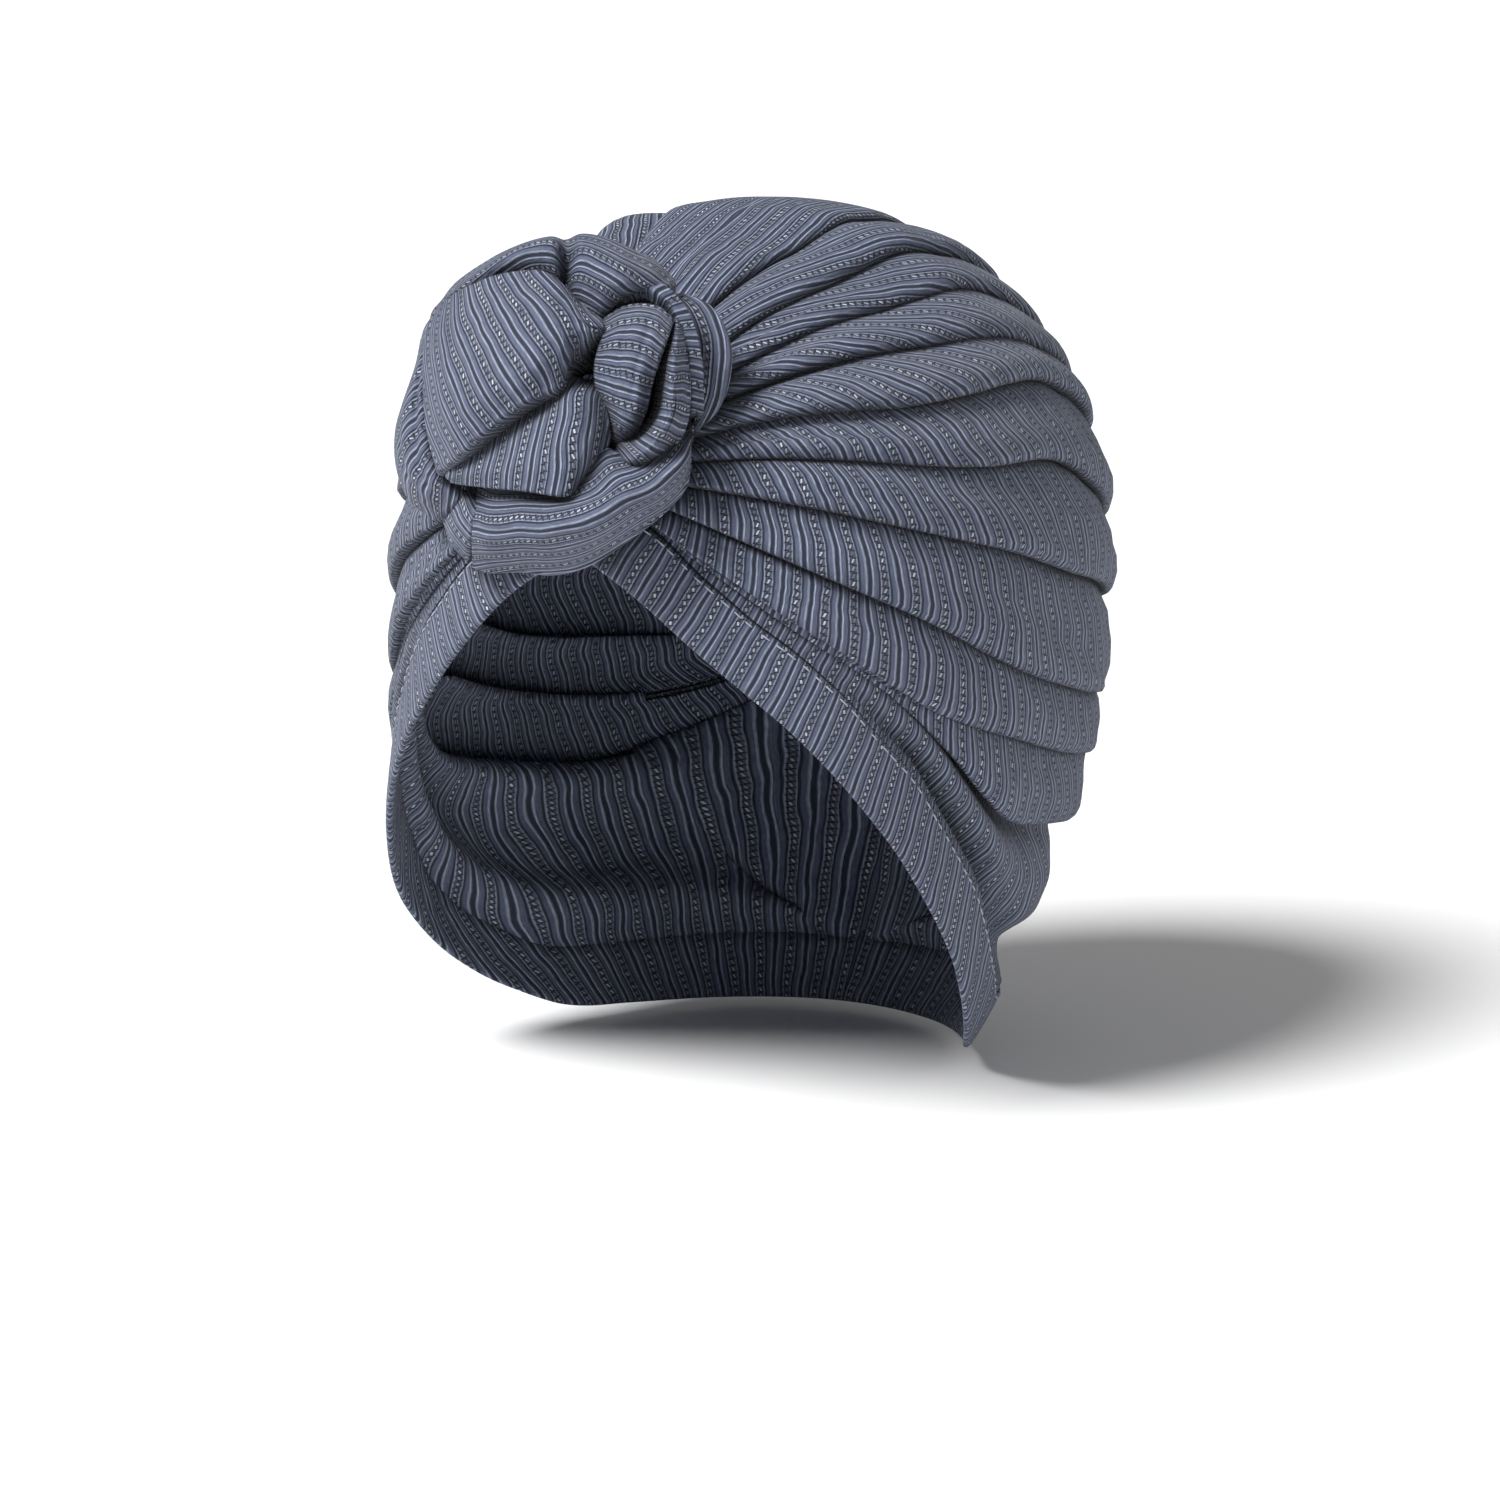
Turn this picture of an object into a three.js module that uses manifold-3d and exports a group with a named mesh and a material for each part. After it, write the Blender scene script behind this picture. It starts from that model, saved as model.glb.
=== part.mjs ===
// Turban headwrap: a pleated knit cap with a stitched rim and a rosette knot at the front.
// Millimetres, +Z up. The wearer looks along -Y and their left hand is at +X.
// The origin is inside the top of the crown, where the head bears.
import * as THREE from 'three';
import { mergeVertices } from 'three/addons/utils/BufferGeometryUtils.js';
import Module from 'manifold-3d';

const wasm = await Module();
wasm.setup();

// Head form under the cloth: half axes of a rounded form, measured from its centre.
const HEAD_HALF_WIDTH = 85;
const HEAD_FRONT_REACH = 100;
const HEAD_BACK_REACH = 107;
const HEAD_TOP_REACH = 95.5;
const HEAD_FRONT_DEPTH = 178;
const HEAD_BACK_DEPTH = 146;
const HEAD_SQUARENESS = 2.2;
const HEAD_TOP_LEAN = 7;

// Cloth.
const CLOTH_WALL = 2.2;
const PLEAT_RISE = 5;
const PLEAT_LIP = 2.4;
const SHOULDER_RISE = 5.5;
const SEAM_GAP = 0.35;

// Rim: heights from the centre of the head form.
const RIM_PEAK_HEIGHT = 22;
const RIM_NAPE_DEPTH = 127;
const HEM_WIDTH = 15;
const HEM_WALL = 2.6;
const HEM_PROUD = 0.4;

// The back of the head, where the pleats run out.
const PLEAT_END_DEPTH = 22;

// Knot: half width across the face and reach out from the crown.
const KNOT_HALF_WIDTH = 41;
const KNOT_REACH = 44;
const KNOT_GAP = 0.35;

// Number of steps in the meshes.
const RIM_STEPS = 15;
const BACK_STEPS = 4;
const HEM_STEPS = 2;
const SEAT_STEPS = 36;
const SEAT_LOWER_STEPS = 18;
const SEAT_ROWS = 4;
const FOLD_STEPS = 2;
const FOLD_ARC_STEPS = 6;

const STRAIGHT_UP = Math.PI / 2;
// Angle over which the slope of the rim is taken, and how often a search halves its range.
const SLOPE_ANGLE = 0.01;
const SEARCH_HALVINGS = 48;

// The rim from the forehead to the nape: angle round the head in degrees, and how far it
// has dropped from its peak, as a share of the whole drop.
const RIM = [
  { angle: 0, drop: 0 },
  { angle: 10, drop: 0.075 },
  { angle: 18, drop: 0.155 },
  { angle: 24, drop: 0.215 },
  { angle: 31, drop: 0.285 },
  { angle: 38, drop: 0.365 },
  { angle: 44, drop: 0.44 },
  { angle: 50, drop: 0.515 },
  { angle: 58, drop: 0.62 },
  { angle: 67, drop: 0.725 },
  { angle: 77, drop: 0.83 },
  { angle: 87, drop: 0.905 },
  { angle: 100, drop: 0.965 },
  { angle: 120, drop: 0.99 },
  { angle: 150, drop: 1 },
  { angle: 180, drop: 1 },
];

// The pleats from the top down: the roll in degrees of the plane that holds the lower, rolled
// edge of each one, and its height as a share of the pleat rise.
const PLEATS = [
  { roll: 76, rise: 0.75 },
  { roll: 62, rise: 0.95 },
  { roll: 51, rise: 0.9 },
  { roll: 39.5, rise: 1 },
  { roll: 26, rise: 1.05 },
  { roll: 13.5, rise: 1 },
  { roll: 0, rise: 1.1 },
  { roll: -15, rise: 1.1 },
  { roll: -29, rise: 1 },
];

// How the pleats change on their way from the knot (0) to the back of the head (1).
const PLEAT_WAY = [
  { way: 0, rise: 0, lip: 0.6 },
  { way: 0.1, rise: 0.6, lip: 0.9 },
  { way: 0.3, rise: 0.95, lip: 1 },
  { way: 0.5, rise: 1.2, lip: 0.8 },
  { way: 0.65, rise: 1.3, lip: 0.5 },
  { way: 0.8, rise: 0.8, lip: 0.2 },
  { way: 0.92, rise: 0.2, lip: 0 },
  { way: 1, rise: 0, lip: 0 },
];

// The outer side of one pleat, from under the edge above it down to its own rolled edge:
// the share of the pleat's breadth, the share of its height, and the share of the lip by
// which the point hangs down over the next pleat.
const PLEAT_SIDE = [
  { breadth: 0, height: 0, lip: 0 },
  { breadth: 0.3, height: 0.4, lip: 0 },
  { breadth: 0.7, height: 0.85, lip: 0 },
  { breadth: 0.96, height: 1, lip: 0.6 },
  { breadth: 1, height: 0.55, lip: 1 },
];

// The inner side of one pleat follows the outer side more simply.
const PLEAT_LINING = [
  { breadth: 0, height: 0 },
  { breadth: 0.72, height: 0.8 },
];

// The smooth shoulder between the lowest pleat and the hem: the share of the way down, and
// the share of the shoulder's height.
const SHOULDER_SIDE = [
  { down: 0.2, height: 0.7 },
  { down: 0.42, height: 1 },
  { down: 0.66, height: 0.2 },
  { down: 0.85, height: -0.4 },
  { down: 1, height: 0 },
];

// The shoulder's height on its way from the knot to the back of the head.
const SHOULDER_WAY = [
  { way: 0, rise: 0 },
  { way: 0.28, rise: 0.05 },
  { way: 0.45, rise: 0.7 },
  { way: 0.56, rise: 1 },
  { way: 0.68, rise: 0.6 },
  { way: 0.85, rise: 0.15 },
  { way: 1, rise: 0 },
];

// The least angle in degrees that a pleat's edge keeps above the hem.
const EDGE_CLEARANCE = 4;
// Shares of that clearance: how far an edge may hang over, how far above the lowest edge the
// knot's seat steps down to the cloth, and how broad that step is.
const OVERHANG_LIMIT = 0.5;
const SEAT_EDGE = 0.75;
const SEAT_STEP = 0.125;

// The folds of the knot. Each row is a section: its place across and up from the knot's root
// and half its breadth, as shares of the knot's half width, then the height of its middle
// line and of its crown above that line, as shares of the knot's reach.
const FOLDS = {
  knot_front_fold: [
    { across: -0.9, up: 0.16, broad: 0.2, out: 0.34, crown: 0.24 },
    { across: -0.6, up: 0.32, broad: 0.39, out: 0.5, crown: 0.42 },
    { across: -0.24, up: 0.47, broad: 0.42, out: 0.55, crown: 0.45 },
    { across: 0.06, up: 0.56, broad: 0.34, out: 0.55, crown: 0.42 },
    { across: 0.27, up: 0.63, broad: 0.22, out: 0.5, crown: 0.34 },
    { across: 0.39, up: 0.67, broad: 0.1, out: 0.45, crown: 0.16 },
  ],
  knot_lower_fold: [
    { across: -0.52, up: -0.24, broad: 0.06, out: 0.36, crown: 0.14 },
    { across: -0.2, up: -0.16, broad: 0.2, out: 0.44, crown: 0.26 },
    { across: 0.1, up: -0.06, broad: 0.28, out: 0.48, crown: 0.3 },
    { across: 0.33, up: 0.02, broad: 0.27, out: 0.46, crown: 0.28 },
    { across: 0.46, up: 0.08, broad: 0.14, out: 0.4, crown: 0.16 },
  ],
  knot_tongue: [
    { across: 0.49, up: 0.8, broad: 0.14, out: 0.32, crown: 0.14 },
    { across: 0.57, up: 0.6, broad: 0.2, out: 0.36, crown: 0.2 },
    { across: 0.59, up: 0.38, broad: 0.19, out: 0.38, crown: 0.2 },
    { across: 0.56, up: 0.17, broad: 0.14, out: 0.36, crown: 0.18 },
    { across: 0.5, up: 0.04, broad: 0.07, out: 0.32, crown: 0.1 },
  ],
  knot_right_wrap: [
    { across: 0.5, up: 0.9, broad: 0.07, out: 0.3, crown: 0.14 },
    { across: 0.74, up: 0.78, broad: 0.1, out: 0.34, crown: 0.22 },
    { across: 0.87, up: 0.58, broad: 0.13, out: 0.36, crown: 0.26 },
    { across: 0.91, up: 0.36, broad: 0.14, out: 0.36, crown: 0.28 },
    { across: 0.89, up: 0.15, broad: 0.15, out: 0.36, crown: 0.28 },
    { across: 0.8, up: -0.02, broad: 0.14, out: 0.34, crown: 0.24 },
    { across: 0.66, up: -0.11, broad: 0.09, out: 0.3, crown: 0.16 },
  ],
  knot_top_wrap: [
    { across: -0.92, up: 0.68, broad: 0.1, out: 0.16, crown: 0.14 },
    { across: -0.72, up: 0.87, broad: 0.18, out: 0.28, crown: 0.28 },
    { across: -0.4, up: 1.03, broad: 0.22, out: 0.36, crown: 0.34 },
    { across: -0.06, up: 1.08, broad: 0.24, out: 0.38, crown: 0.36 },
    { across: 0.23, up: 1, broad: 0.24, out: 0.3, crown: 0.34 },
    { across: 0.46, up: 0.95, broad: 0.2, out: 0.24, crown: 0.28 },
    { across: 0.62, up: 0.9, broad: 0.11, out: 0.16, crown: 0.16 },
  ],
  knot_bottom_wrap: [
    { across: 0.78, up: 0.02, broad: 0.08, out: 0.14, crown: 0.12 },
    { across: 0.74, up: -0.13, broad: 0.15, out: 0.22, crown: 0.2 },
    { across: 0.62, up: -0.29, broad: 0.2, out: 0.28, crown: 0.26 },
    { across: 0.4, up: -0.42, broad: 0.22, out: 0.34, crown: 0.28 },
    { across: 0.12, up: -0.47, broad: 0.22, out: 0.34, crown: 0.28 },
    { across: -0.18, up: -0.43, broad: 0.2, out: 0.3, crown: 0.24 },
    { across: -0.44, up: -0.38, broad: 0.13, out: 0.2, crown: 0.16 },
  ],
  knot_left_wrap: [
    { across: -0.6, up: -0.4, broad: 0.08, out: 0.12, crown: 0.14 },
    { across: -0.86, up: -0.2, broad: 0.15, out: 0.18, crown: 0.2 },
    { across: -0.97, up: 0, broad: 0.17, out: 0.22, crown: 0.22 },
    { across: -1, up: 0.24, broad: 0.17, out: 0.22, crown: 0.22 },
    { across: -0.98, up: 0.48, broad: 0.12, out: 0.2, crown: 0.18 },
  ],
};

// How far a fold's root reaches behind the knot's root plane, as a share of the knot's reach.
const FOLD_ROOT = 0.45;
// A fold is narrower at its root than at its middle line.
const FOLD_ROOT_BREADTH = 0.7;
// The middle of the knot's face above its root, as a share of the knot's half width, and how
// far the roots are drawn in towards it, as a share of the way.
const KNOT_CENTRE_UP = 0.3;
const FOLD_ROOT_DRAW = 0.35;

const SLATE_KNIT = { color: 0x5b6271, roughness: 0.82, metalness: 0 };

/** Smooth value of one column of a table at a place between its rows. */
function tableValue(rows, place, column, at) {
  const last = rows.length - 1;
  let row = 0;
  while (row < last - 1 && at > rows[row + 1][place]) row += 1;
  const start = rows[row];
  const end = rows[row + 1];
  const before = rows[Math.max(row - 1, 0)];
  const after = rows[Math.min(row + 2, last)];
  const span = end[place] - start[place];
  const share = THREE.MathUtils.clamp((at - start[place]) / span, 0, 1);
  const startSlope = (end[column] - before[column]) / (end[place] - before[place]);
  const endSlope = (after[column] - start[column]) / (after[place] - start[place]);
  const squared = share * share;
  const cubed = squared * share;
  return start[column] * (2 * cubed - 3 * squared + 1)
    + startSlope * span * (cubed - 2 * squared + share)
    + end[column] * (3 * squared - 2 * cubed)
    + endSlope * span * (cubed - squared);
}

/** Sizes of the head form that hold at a point: reach, height and how far its top leans back. */
function headAxes(point) {
  const backwards = (point.y + HEAD_FRONT_REACH) / (HEAD_FRONT_REACH + HEAD_BACK_REACH);
  const share = THREE.MathUtils.smoothstep(backwards, 0, 1);
  const depth = THREE.MathUtils.lerp(HEAD_FRONT_DEPTH, HEAD_BACK_DEPTH, share);
  const lean = HEAD_TOP_LEAN * (Math.max(point.z, 0) / HEAD_TOP_REACH) ** 2;
  return {
    reach: point.y < lean ? HEAD_FRONT_REACH : HEAD_BACK_REACH,
    height: point.z < 0 ? depth : HEAD_TOP_REACH,
    lean,
  };
}

/** Level of the head form at a point: below 1 inside, above 1 outside. */
function headLevel(point) {
  const { reach, height, lean } = headAxes(point);
  return Math.abs(point.x / HEAD_HALF_WIDTH) ** HEAD_SQUARENESS
    + Math.abs((point.y - lean) / reach) ** HEAD_SQUARENESS
    + Math.abs(point.z / height) ** HEAD_SQUARENESS;
}

/** Outward normal of the head form at a point on it. */
function headNormal(point) {
  const { reach, height, lean } = headAxes(point);
  const slope = (value, size) => (
    Math.sign(value) * Math.abs(value / size) ** (HEAD_SQUARENESS - 1) / size
  );
  return new THREE.Vector3(
    slope(point.x, HEAD_HALF_WIDTH),
    slope(point.y - lean, reach),
    slope(point.z, height),
  ).normalize();
}

/** Point where a ray from inside the head form meets it. */
function headPoint(start, direction) {
  let near = 0;
  let far = HEAD_FRONT_DEPTH + HEAD_BACK_REACH;
  for (let count = 0; count < SEARCH_HALVINGS; count += 1) {
    const middle = (near + far) / 2;
    if (headLevel(start.clone().addScaledVector(direction, middle)) < 1) near = middle;
    else far = middle;
  }
  return start.clone().addScaledVector(direction, near);
}

/** Point of the head form at an angle round the head and a height. */
function headPointAt(angle, height) {
  const level = new THREE.Vector3(0, 0, height);
  return headPoint(level, new THREE.Vector3(Math.sin(angle), -Math.cos(angle), 0));
}

/** Height of the rim at an angle round the head, plus a distance square to the rim. */
function rimHeight(angle, above) {
  const drop = (at) => tableValue(RIM, 'angle', 'drop', THREE.MathUtils.radToDeg(at));
  const depth = RIM_PEAK_HEIGHT + RIM_NAPE_DEPTH;
  const height = RIM_PEAK_HEIGHT - drop(angle) * depth;
  const near = Math.min(angle, Math.PI - SLOPE_ANGLE);
  const ahead = headPointAt(near + SLOPE_ANGLE, height);
  const here = headPointAt(near, height);
  const slope = (drop(near + SLOPE_ANGLE) - drop(near)) * depth / ahead.distanceTo(here);
  return height + above * Math.hypot(1, slope);
}

const pleatStart = headPointAt(0, rimHeight(0, HEM_WIDTH + SEAM_GAP));
const pleatEnd = headPointAt(Math.PI, -PLEAT_END_DEPTH);
const pleatMiddle = pleatStart.clone().add(pleatEnd).multiplyScalar(0.5);
const pleatAxis = pleatEnd.clone().sub(pleatStart).normalize();
const sideways = new THREE.Vector3(1, 0, 0);
const upwards = new THREE.Vector3().crossVectors(sideways, pleatAxis);

/** Point of the head form on the pleat line of one roll, part of the way to the back. */
function pleatPoint(way, roll) {
  const turn = way * Math.PI;
  const side = sideways.clone().multiplyScalar(Math.cos(roll));
  side.addScaledVector(upwards, Math.sin(roll));
  const direction = side.multiplyScalar(Math.sin(turn));
  direction.addScaledVector(pleatAxis, -Math.cos(turn));
  return headPoint(pleatMiddle, direction);
}

/** Way along the pleats and roll of a point on the head form. */
function pleatPlace(point) {
  const offset = point.clone().sub(pleatMiddle);
  const along = offset.dot(pleatAxis);
  const across = offset.x;
  const up = offset.dot(upwards);
  return {
    way: Math.atan2(Math.hypot(across, up), -along) / Math.PI,
    roll: Math.atan2(up, across),
  };
}

/** Points of one cross row of the crown: outer and inner side, from the top down. */
function crownRow({ way, hemRoll }) {
  const rise = PLEAT_RISE * tableValue(PLEAT_WAY, 'way', 'rise', way);
  const lip = PLEAT_LIP * tableValue(PLEAT_WAY, 'way', 'lip', way);
  const shoulder = SHOULDER_RISE * tableValue(SHOULDER_WAY, 'way', 'rise', way);
  const breadth = Math.max(HEAD_HALF_WIDTH * Math.sin(way * Math.PI), PLEAT_LIP);
  const clearance = THREE.MathUtils.degToRad(EDGE_CLEARANCE);
  const point = (roll, height) => {
    const base = pleatPoint(way, roll);
    return base.addScaledVector(headNormal(base), height);
  };
  const outer = [];
  const inner = [];
  let above = STRAIGHT_UP;
  PLEATS.forEach((pleat, index) => {
    const edge = Math.max(THREE.MathUtils.degToRad(pleat.roll), hemRoll + clearance);
    const height = rise * pleat.rise;
    // The top pleat lies flat over the middle of the crown, down to its two edges.
    const flat = index === 0;
    PLEAT_SIDE.forEach((side) => {
      const overhang = Math.min(lip * side.lip / breadth, clearance * OVERHANG_LIMIT);
      const roll = above + (edge - above) * side.breadth - overhang;
      outer.push(point(roll, height * (flat && side.breadth < 1 ? 1 : side.height)));
    });
    PLEAT_LINING.forEach((side) => {
      const roll = above + (edge - above) * side.breadth;
      inner.push(point(roll, height * (flat ? 1 : side.height) - CLOTH_WALL));
    });
    above = edge;
  });
  outer.push(point(above, 0));
  inner.push(point(above, -CLOTH_WALL));
  SHOULDER_SIDE.forEach((side) => {
    const roll = above + (hemRoll - above) * side.down;
    outer.push(point(roll, shoulder * side.height));
    inner.push(point(roll, shoulder * side.height - CLOTH_WALL));
  });
  return { outer, inner };
}

/** Both sides of a grid that ends on the middle plane: the given half and its mirror image. */
function addMirroredGrid(triangles, rows, inwards) {
  [1, -1].forEach((side) => {
    const place = (point) => new THREE.Vector3(side * point.x, point.y, point.z);
    for (let row = 0; row < rows.length - 1; row += 1) {
      for (let column = 0; column < rows[row].length - 1; column += 1) {
        const corners = [
          place(rows[row][column]),
          place(rows[row][column + 1]),
          place(rows[row + 1][column + 1]),
          place(rows[row + 1][column]),
        ];
        if ((side < 0) !== inwards) corners.reverse();
        triangles.push([corners[0], corners[1], corners[2]]);
        triangles.push([corners[0], corners[2], corners[3]]);
      }
    }
  });
}

/** Closed geometry from a list of triangles: corners merged and collapsed triangles dropped. */
function closedGeometry(triangles) {
  const soup = new THREE.BufferGeometry().setFromPoints(triangles.flat());
  const merged = mergeVertices(soup);
  const index = [];
  for (let corner = 0; corner < merged.index.count; corner += 3) {
    const [a, b, c] = [0, 1, 2].map((step) => merged.index.getX(corner + step));
    if (a !== b && b !== c && c !== a) index.push(a, b, c);
  }
  merged.setIndex(index);
  return merged;
}

/** Solid for cuts and joins from a closed geometry. */
function toSolid(geometry) {
  return new wasm.Manifold(new wasm.Mesh({
    numProp: 3,
    vertProperties: new Float32Array(geometry.attributes.position.array),
    triVerts: new Uint32Array(geometry.index.array),
  }));
}

/** Geometry of the largest body of a solid. */
function fromSolid(solid) {
  const bodies = solid.decompose().sort((one, other) => other.volume() - one.volume());
  const mesh = bodies[0].getMesh();
  const geometry = new THREE.BufferGeometry();
  geometry.setAttribute('position', new THREE.BufferAttribute(mesh.vertProperties, 3));
  geometry.setIndex(new THREE.BufferAttribute(mesh.triVerts, 1));
  return geometry;
}

/** Cross rows of the crown: along the hem from the forehead to the nape, then up the back. */
function crownPlaces() {
  const places = [];
  for (let step = 0; step <= RIM_STEPS; step += 1) {
    const angle = Math.PI * step / RIM_STEPS;
    const edge = headPointAt(angle, rimHeight(angle, HEM_WIDTH + SEAM_GAP));
    const place = pleatPlace(edge);
    places.push({ way: place.way, hemRoll: step === RIM_STEPS ? -STRAIGHT_UP : place.roll });
  }
  // All rolls meet in one point where the pleats start.
  places[0] = { way: 0, hemRoll: places[1].hemRoll };
  const nape = places[RIM_STEPS].way;
  for (let step = 1; step <= BACK_STEPS; step += 1) {
    const way = nape + (1 - nape) * step / BACK_STEPS;
    places.push({ way, hemRoll: -STRAIGHT_UP });
  }
  return places;
}

/** The pleated crown: one hollow solid, open below. */
function crownGeometry() {
  const rows = crownPlaces().map((place) => crownRow(place));
  const triangles = [];
  addMirroredGrid(triangles, rows.map((row) => row.outer), false);
  addMirroredGrid(triangles, rows.map((row) => row.inner), true);
  const edges = rows.slice(0, RIM_STEPS + 1).map((row) => [row.outer.at(-1), row.inner.at(-1)]);
  addMirroredGrid(triangles, edges, false);
  return closedGeometry(triangles);
}

/** One cross row of the smooth form that the knot sits on, just over the pleats and the hem. */
function seatRow({ way, hemRoll }) {
  const tallest = Math.max(...PLEATS.map((pleat) => pleat.rise));
  const rise = PLEAT_RISE * tallest * tableValue(PLEAT_WAY, 'way', 'rise', way);
  const lift = HEM_PROUD + KNOT_GAP;
  const point = (roll, height) => {
    const base = pleatPoint(way, roll);
    return base.addScaledVector(headNormal(base), height + lift);
  };
  const lowest = THREE.MathUtils.degToRad(PLEATS.at(-1).roll);
  const clearance = THREE.MathUtils.degToRad(EDGE_CLEARANCE);
  const edge = Math.max(lowest, hemRoll + clearance) - clearance * SEAT_EDGE;
  const row = [];
  for (let step = 0; step <= SEAT_STEPS; step += 1) {
    row.push(point(STRAIGHT_UP + (edge - STRAIGHT_UP) * step / SEAT_STEPS, rise));
  }
  const below = edge - clearance * SEAT_STEP;
  for (let step = 0; step <= SEAT_LOWER_STEPS; step += 1) {
    row.push(point(below + (-STRAIGHT_UP - below) * step / SEAT_LOWER_STEPS, 0));
  }
  return row;
}

/** Everything that the knot must stay clear of, as one body with the knot's gap on it. */
function crownSeat() {
  const places = crownPlaces();
  const rows = [seatRow(places[0])];
  places.slice(1).forEach((place, index) => {
    const before = places[index];
    for (let step = 1; step <= SEAT_ROWS; step += 1) {
      const share = step / SEAT_ROWS;
      rows.push(seatRow({
        way: THREE.MathUtils.lerp(before.way, place.way, share),
        hemRoll: THREE.MathUtils.lerp(before.hemRoll, place.hemRoll, share),
      }));
    }
  });
  const triangles = [];
  addMirroredGrid(triangles, rows, false);
  return toSolid(closedGeometry(triangles));
}

/** The stitched rim: a band of even width under the crown's lower edge. */
function hemGeometry() {
  const outer = [];
  const inner = [];
  for (let step = 0; step <= RIM_STEPS; step += 1) {
    const angle = Math.PI * step / RIM_STEPS;
    const bases = [];
    for (let share = HEM_STEPS; share >= 0; share -= 1) {
      bases.push(headPointAt(angle, rimHeight(angle, HEM_WIDTH * share / HEM_STEPS)));
    }
    const lifted = (height) => bases.map((base) => (
      base.clone().addScaledVector(headNormal(base), height)
    ));
    outer.push(lifted(HEM_PROUD));
    inner.push(lifted(HEM_PROUD - HEM_WALL));
  }
  const triangles = [];
  addMirroredGrid(triangles, outer, false);
  addMirroredGrid(triangles, inner, true);
  addMirroredGrid(triangles, outer.map((row, step) => [row.at(-1), inner[step].at(-1)]), false);
  addMirroredGrid(triangles, outer.map((row, step) => [row[0], inner[step][0]]), true);
  return closedGeometry(triangles);
}

/** One fold of the knot, swept along its sections; grown by a distance on every side. */
function foldSolid(sections, grow) {
  const out = headNormal(pleatStart);
  const up = new THREE.Vector3().crossVectors(out, sideways).negate();
  if (up.z < 0) up.negate();
  const place = (across, rise, height) => pleatStart.clone()
    .addScaledVector(sideways, across)
    .addScaledVector(up, rise)
    .addScaledVector(out, height);
  const numbered = sections.map((section, index) => ({ ...section, index }));
  const value = (column, at) => tableValue(numbered, 'index', column, at);
  const rings = [];
  const last = (sections.length - 1) * FOLD_STEPS;
  for (let step = 0; step <= last; step += 1) {
    const at = step / FOLD_STEPS;
    const near = Math.min(at, sections.length - 1 - 1 / FOLD_STEPS);
    const path = new THREE.Vector2(
      value('across', near + 1 / FOLD_STEPS) - value('across', near),
      value('up', near + 1 / FOLD_STEPS) - value('up', near),
    ).normalize();
    const ahead = grow * (step === last) - grow * (step === 0);
    const centre = new THREE.Vector2(value('across', at), value('up', at));
    centre.multiplyScalar(KNOT_HALF_WIDTH).addScaledVector(path, ahead);
    const broad = value('broad', at) * KNOT_HALF_WIDTH + grow;
    const middle = value('out', at) * KNOT_REACH;
    const crown = value('crown', at) * KNOT_REACH + grow;
    const point = (side, height) => place(
      centre.x - path.y * side,
      centre.y + path.x * side,
      height,
    );
    const ring = [];
    for (let arc = 0; arc <= FOLD_ARC_STEPS; arc += 1) {
      const turn = Math.PI * arc / FOLD_ARC_STEPS;
      ring.push(point(broad * Math.cos(turn), middle + crown * Math.sin(turn)));
    }
    const root = -FOLD_ROOT * KNOT_REACH;
    const rootBroad = broad * FOLD_ROOT_BREADTH + grow;
    const drawn = new THREE.Vector2(0, KNOT_CENTRE_UP * KNOT_HALF_WIDTH).sub(centre);
    drawn.multiplyScalar(FOLD_ROOT_DRAW);
    [-rootBroad, rootBroad].forEach((side) => {
      ring.push(place(
        centre.x + drawn.x - path.y * side,
        centre.y + drawn.y + path.x * side,
        root,
      ));
    });
    rings.push(ring);
  }
  const triangles = [];
  const size = rings[0].length;
  for (let step = 0; step < last; step += 1) {
    for (let corner = 0; corner < size; corner += 1) {
      const next = (corner + 1) % size;
      triangles.push([rings[step][corner], rings[step][next], rings[step + 1][next]]);
      triangles.push([rings[step][corner], rings[step + 1][next], rings[step + 1][corner]]);
    }
  }
  const close = (ring, flip) => {
    for (let corner = 1; corner < size - 1; corner += 1) {
      const triangle = [ring[0], ring[corner + 1], ring[corner]];
      triangles.push(flip ? triangle.reverse() : triangle);
    }
  };
  close(rings[0], false);
  close(rings[last], true);
  return toSolid(closedGeometry(triangles));
}

/** The folds of the knot, each one clear of the crown and of the folds that lie over it. */
function foldGeometries() {
  const seat = crownSeat();
  let taken = seat;
  const geometries = {};
  Object.entries(FOLDS).forEach(([name, sections]) => {
    geometries[name] = fromSolid(foldSolid(sections, 0).subtract(taken));
    taken = taken.add(foldSolid(sections, KNOT_GAP));
  });
  return geometries;
}

/** Height of the crown's inner side over the centre of the head form. */
function innerTopHeight() {
  const { way } = pleatPlace(new THREE.Vector3(0, 0, HEAD_TOP_REACH));
  const rise = PLEAT_RISE * PLEATS[0].rise * tableValue(PLEAT_WAY, 'way', 'rise', way);
  return HEAD_TOP_REACH + rise - CLOTH_WALL;
}

const headwrap = new THREE.Group();
const pieces = { crown: crownGeometry(), hem_band: hemGeometry(), ...foldGeometries() };
const top = innerTopHeight();
Object.entries(pieces).forEach(([name, geometry]) => {
  const mesh = new THREE.Mesh(geometry, new THREE.MeshStandardMaterial(SLATE_KNIT));
  mesh.name = name;
  mesh.position.z = -top;
  headwrap.add(mesh);
});

export default headwrap;
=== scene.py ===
"""Pleated knit turban cap with a rosette knot, dressed for a product picture.

All sizes are in metres. The frame is the model's own: +Z up, the knot at the front towards
-Y, and the origin just under the top of the crown. Places on the inner form are measured from
the form's own centre, and a piece is moved down by the form's centre_drop when it is made.
"""
import logging
import math
from collections.abc import Callable
from dataclasses import dataclass
from enum import Enum

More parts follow.
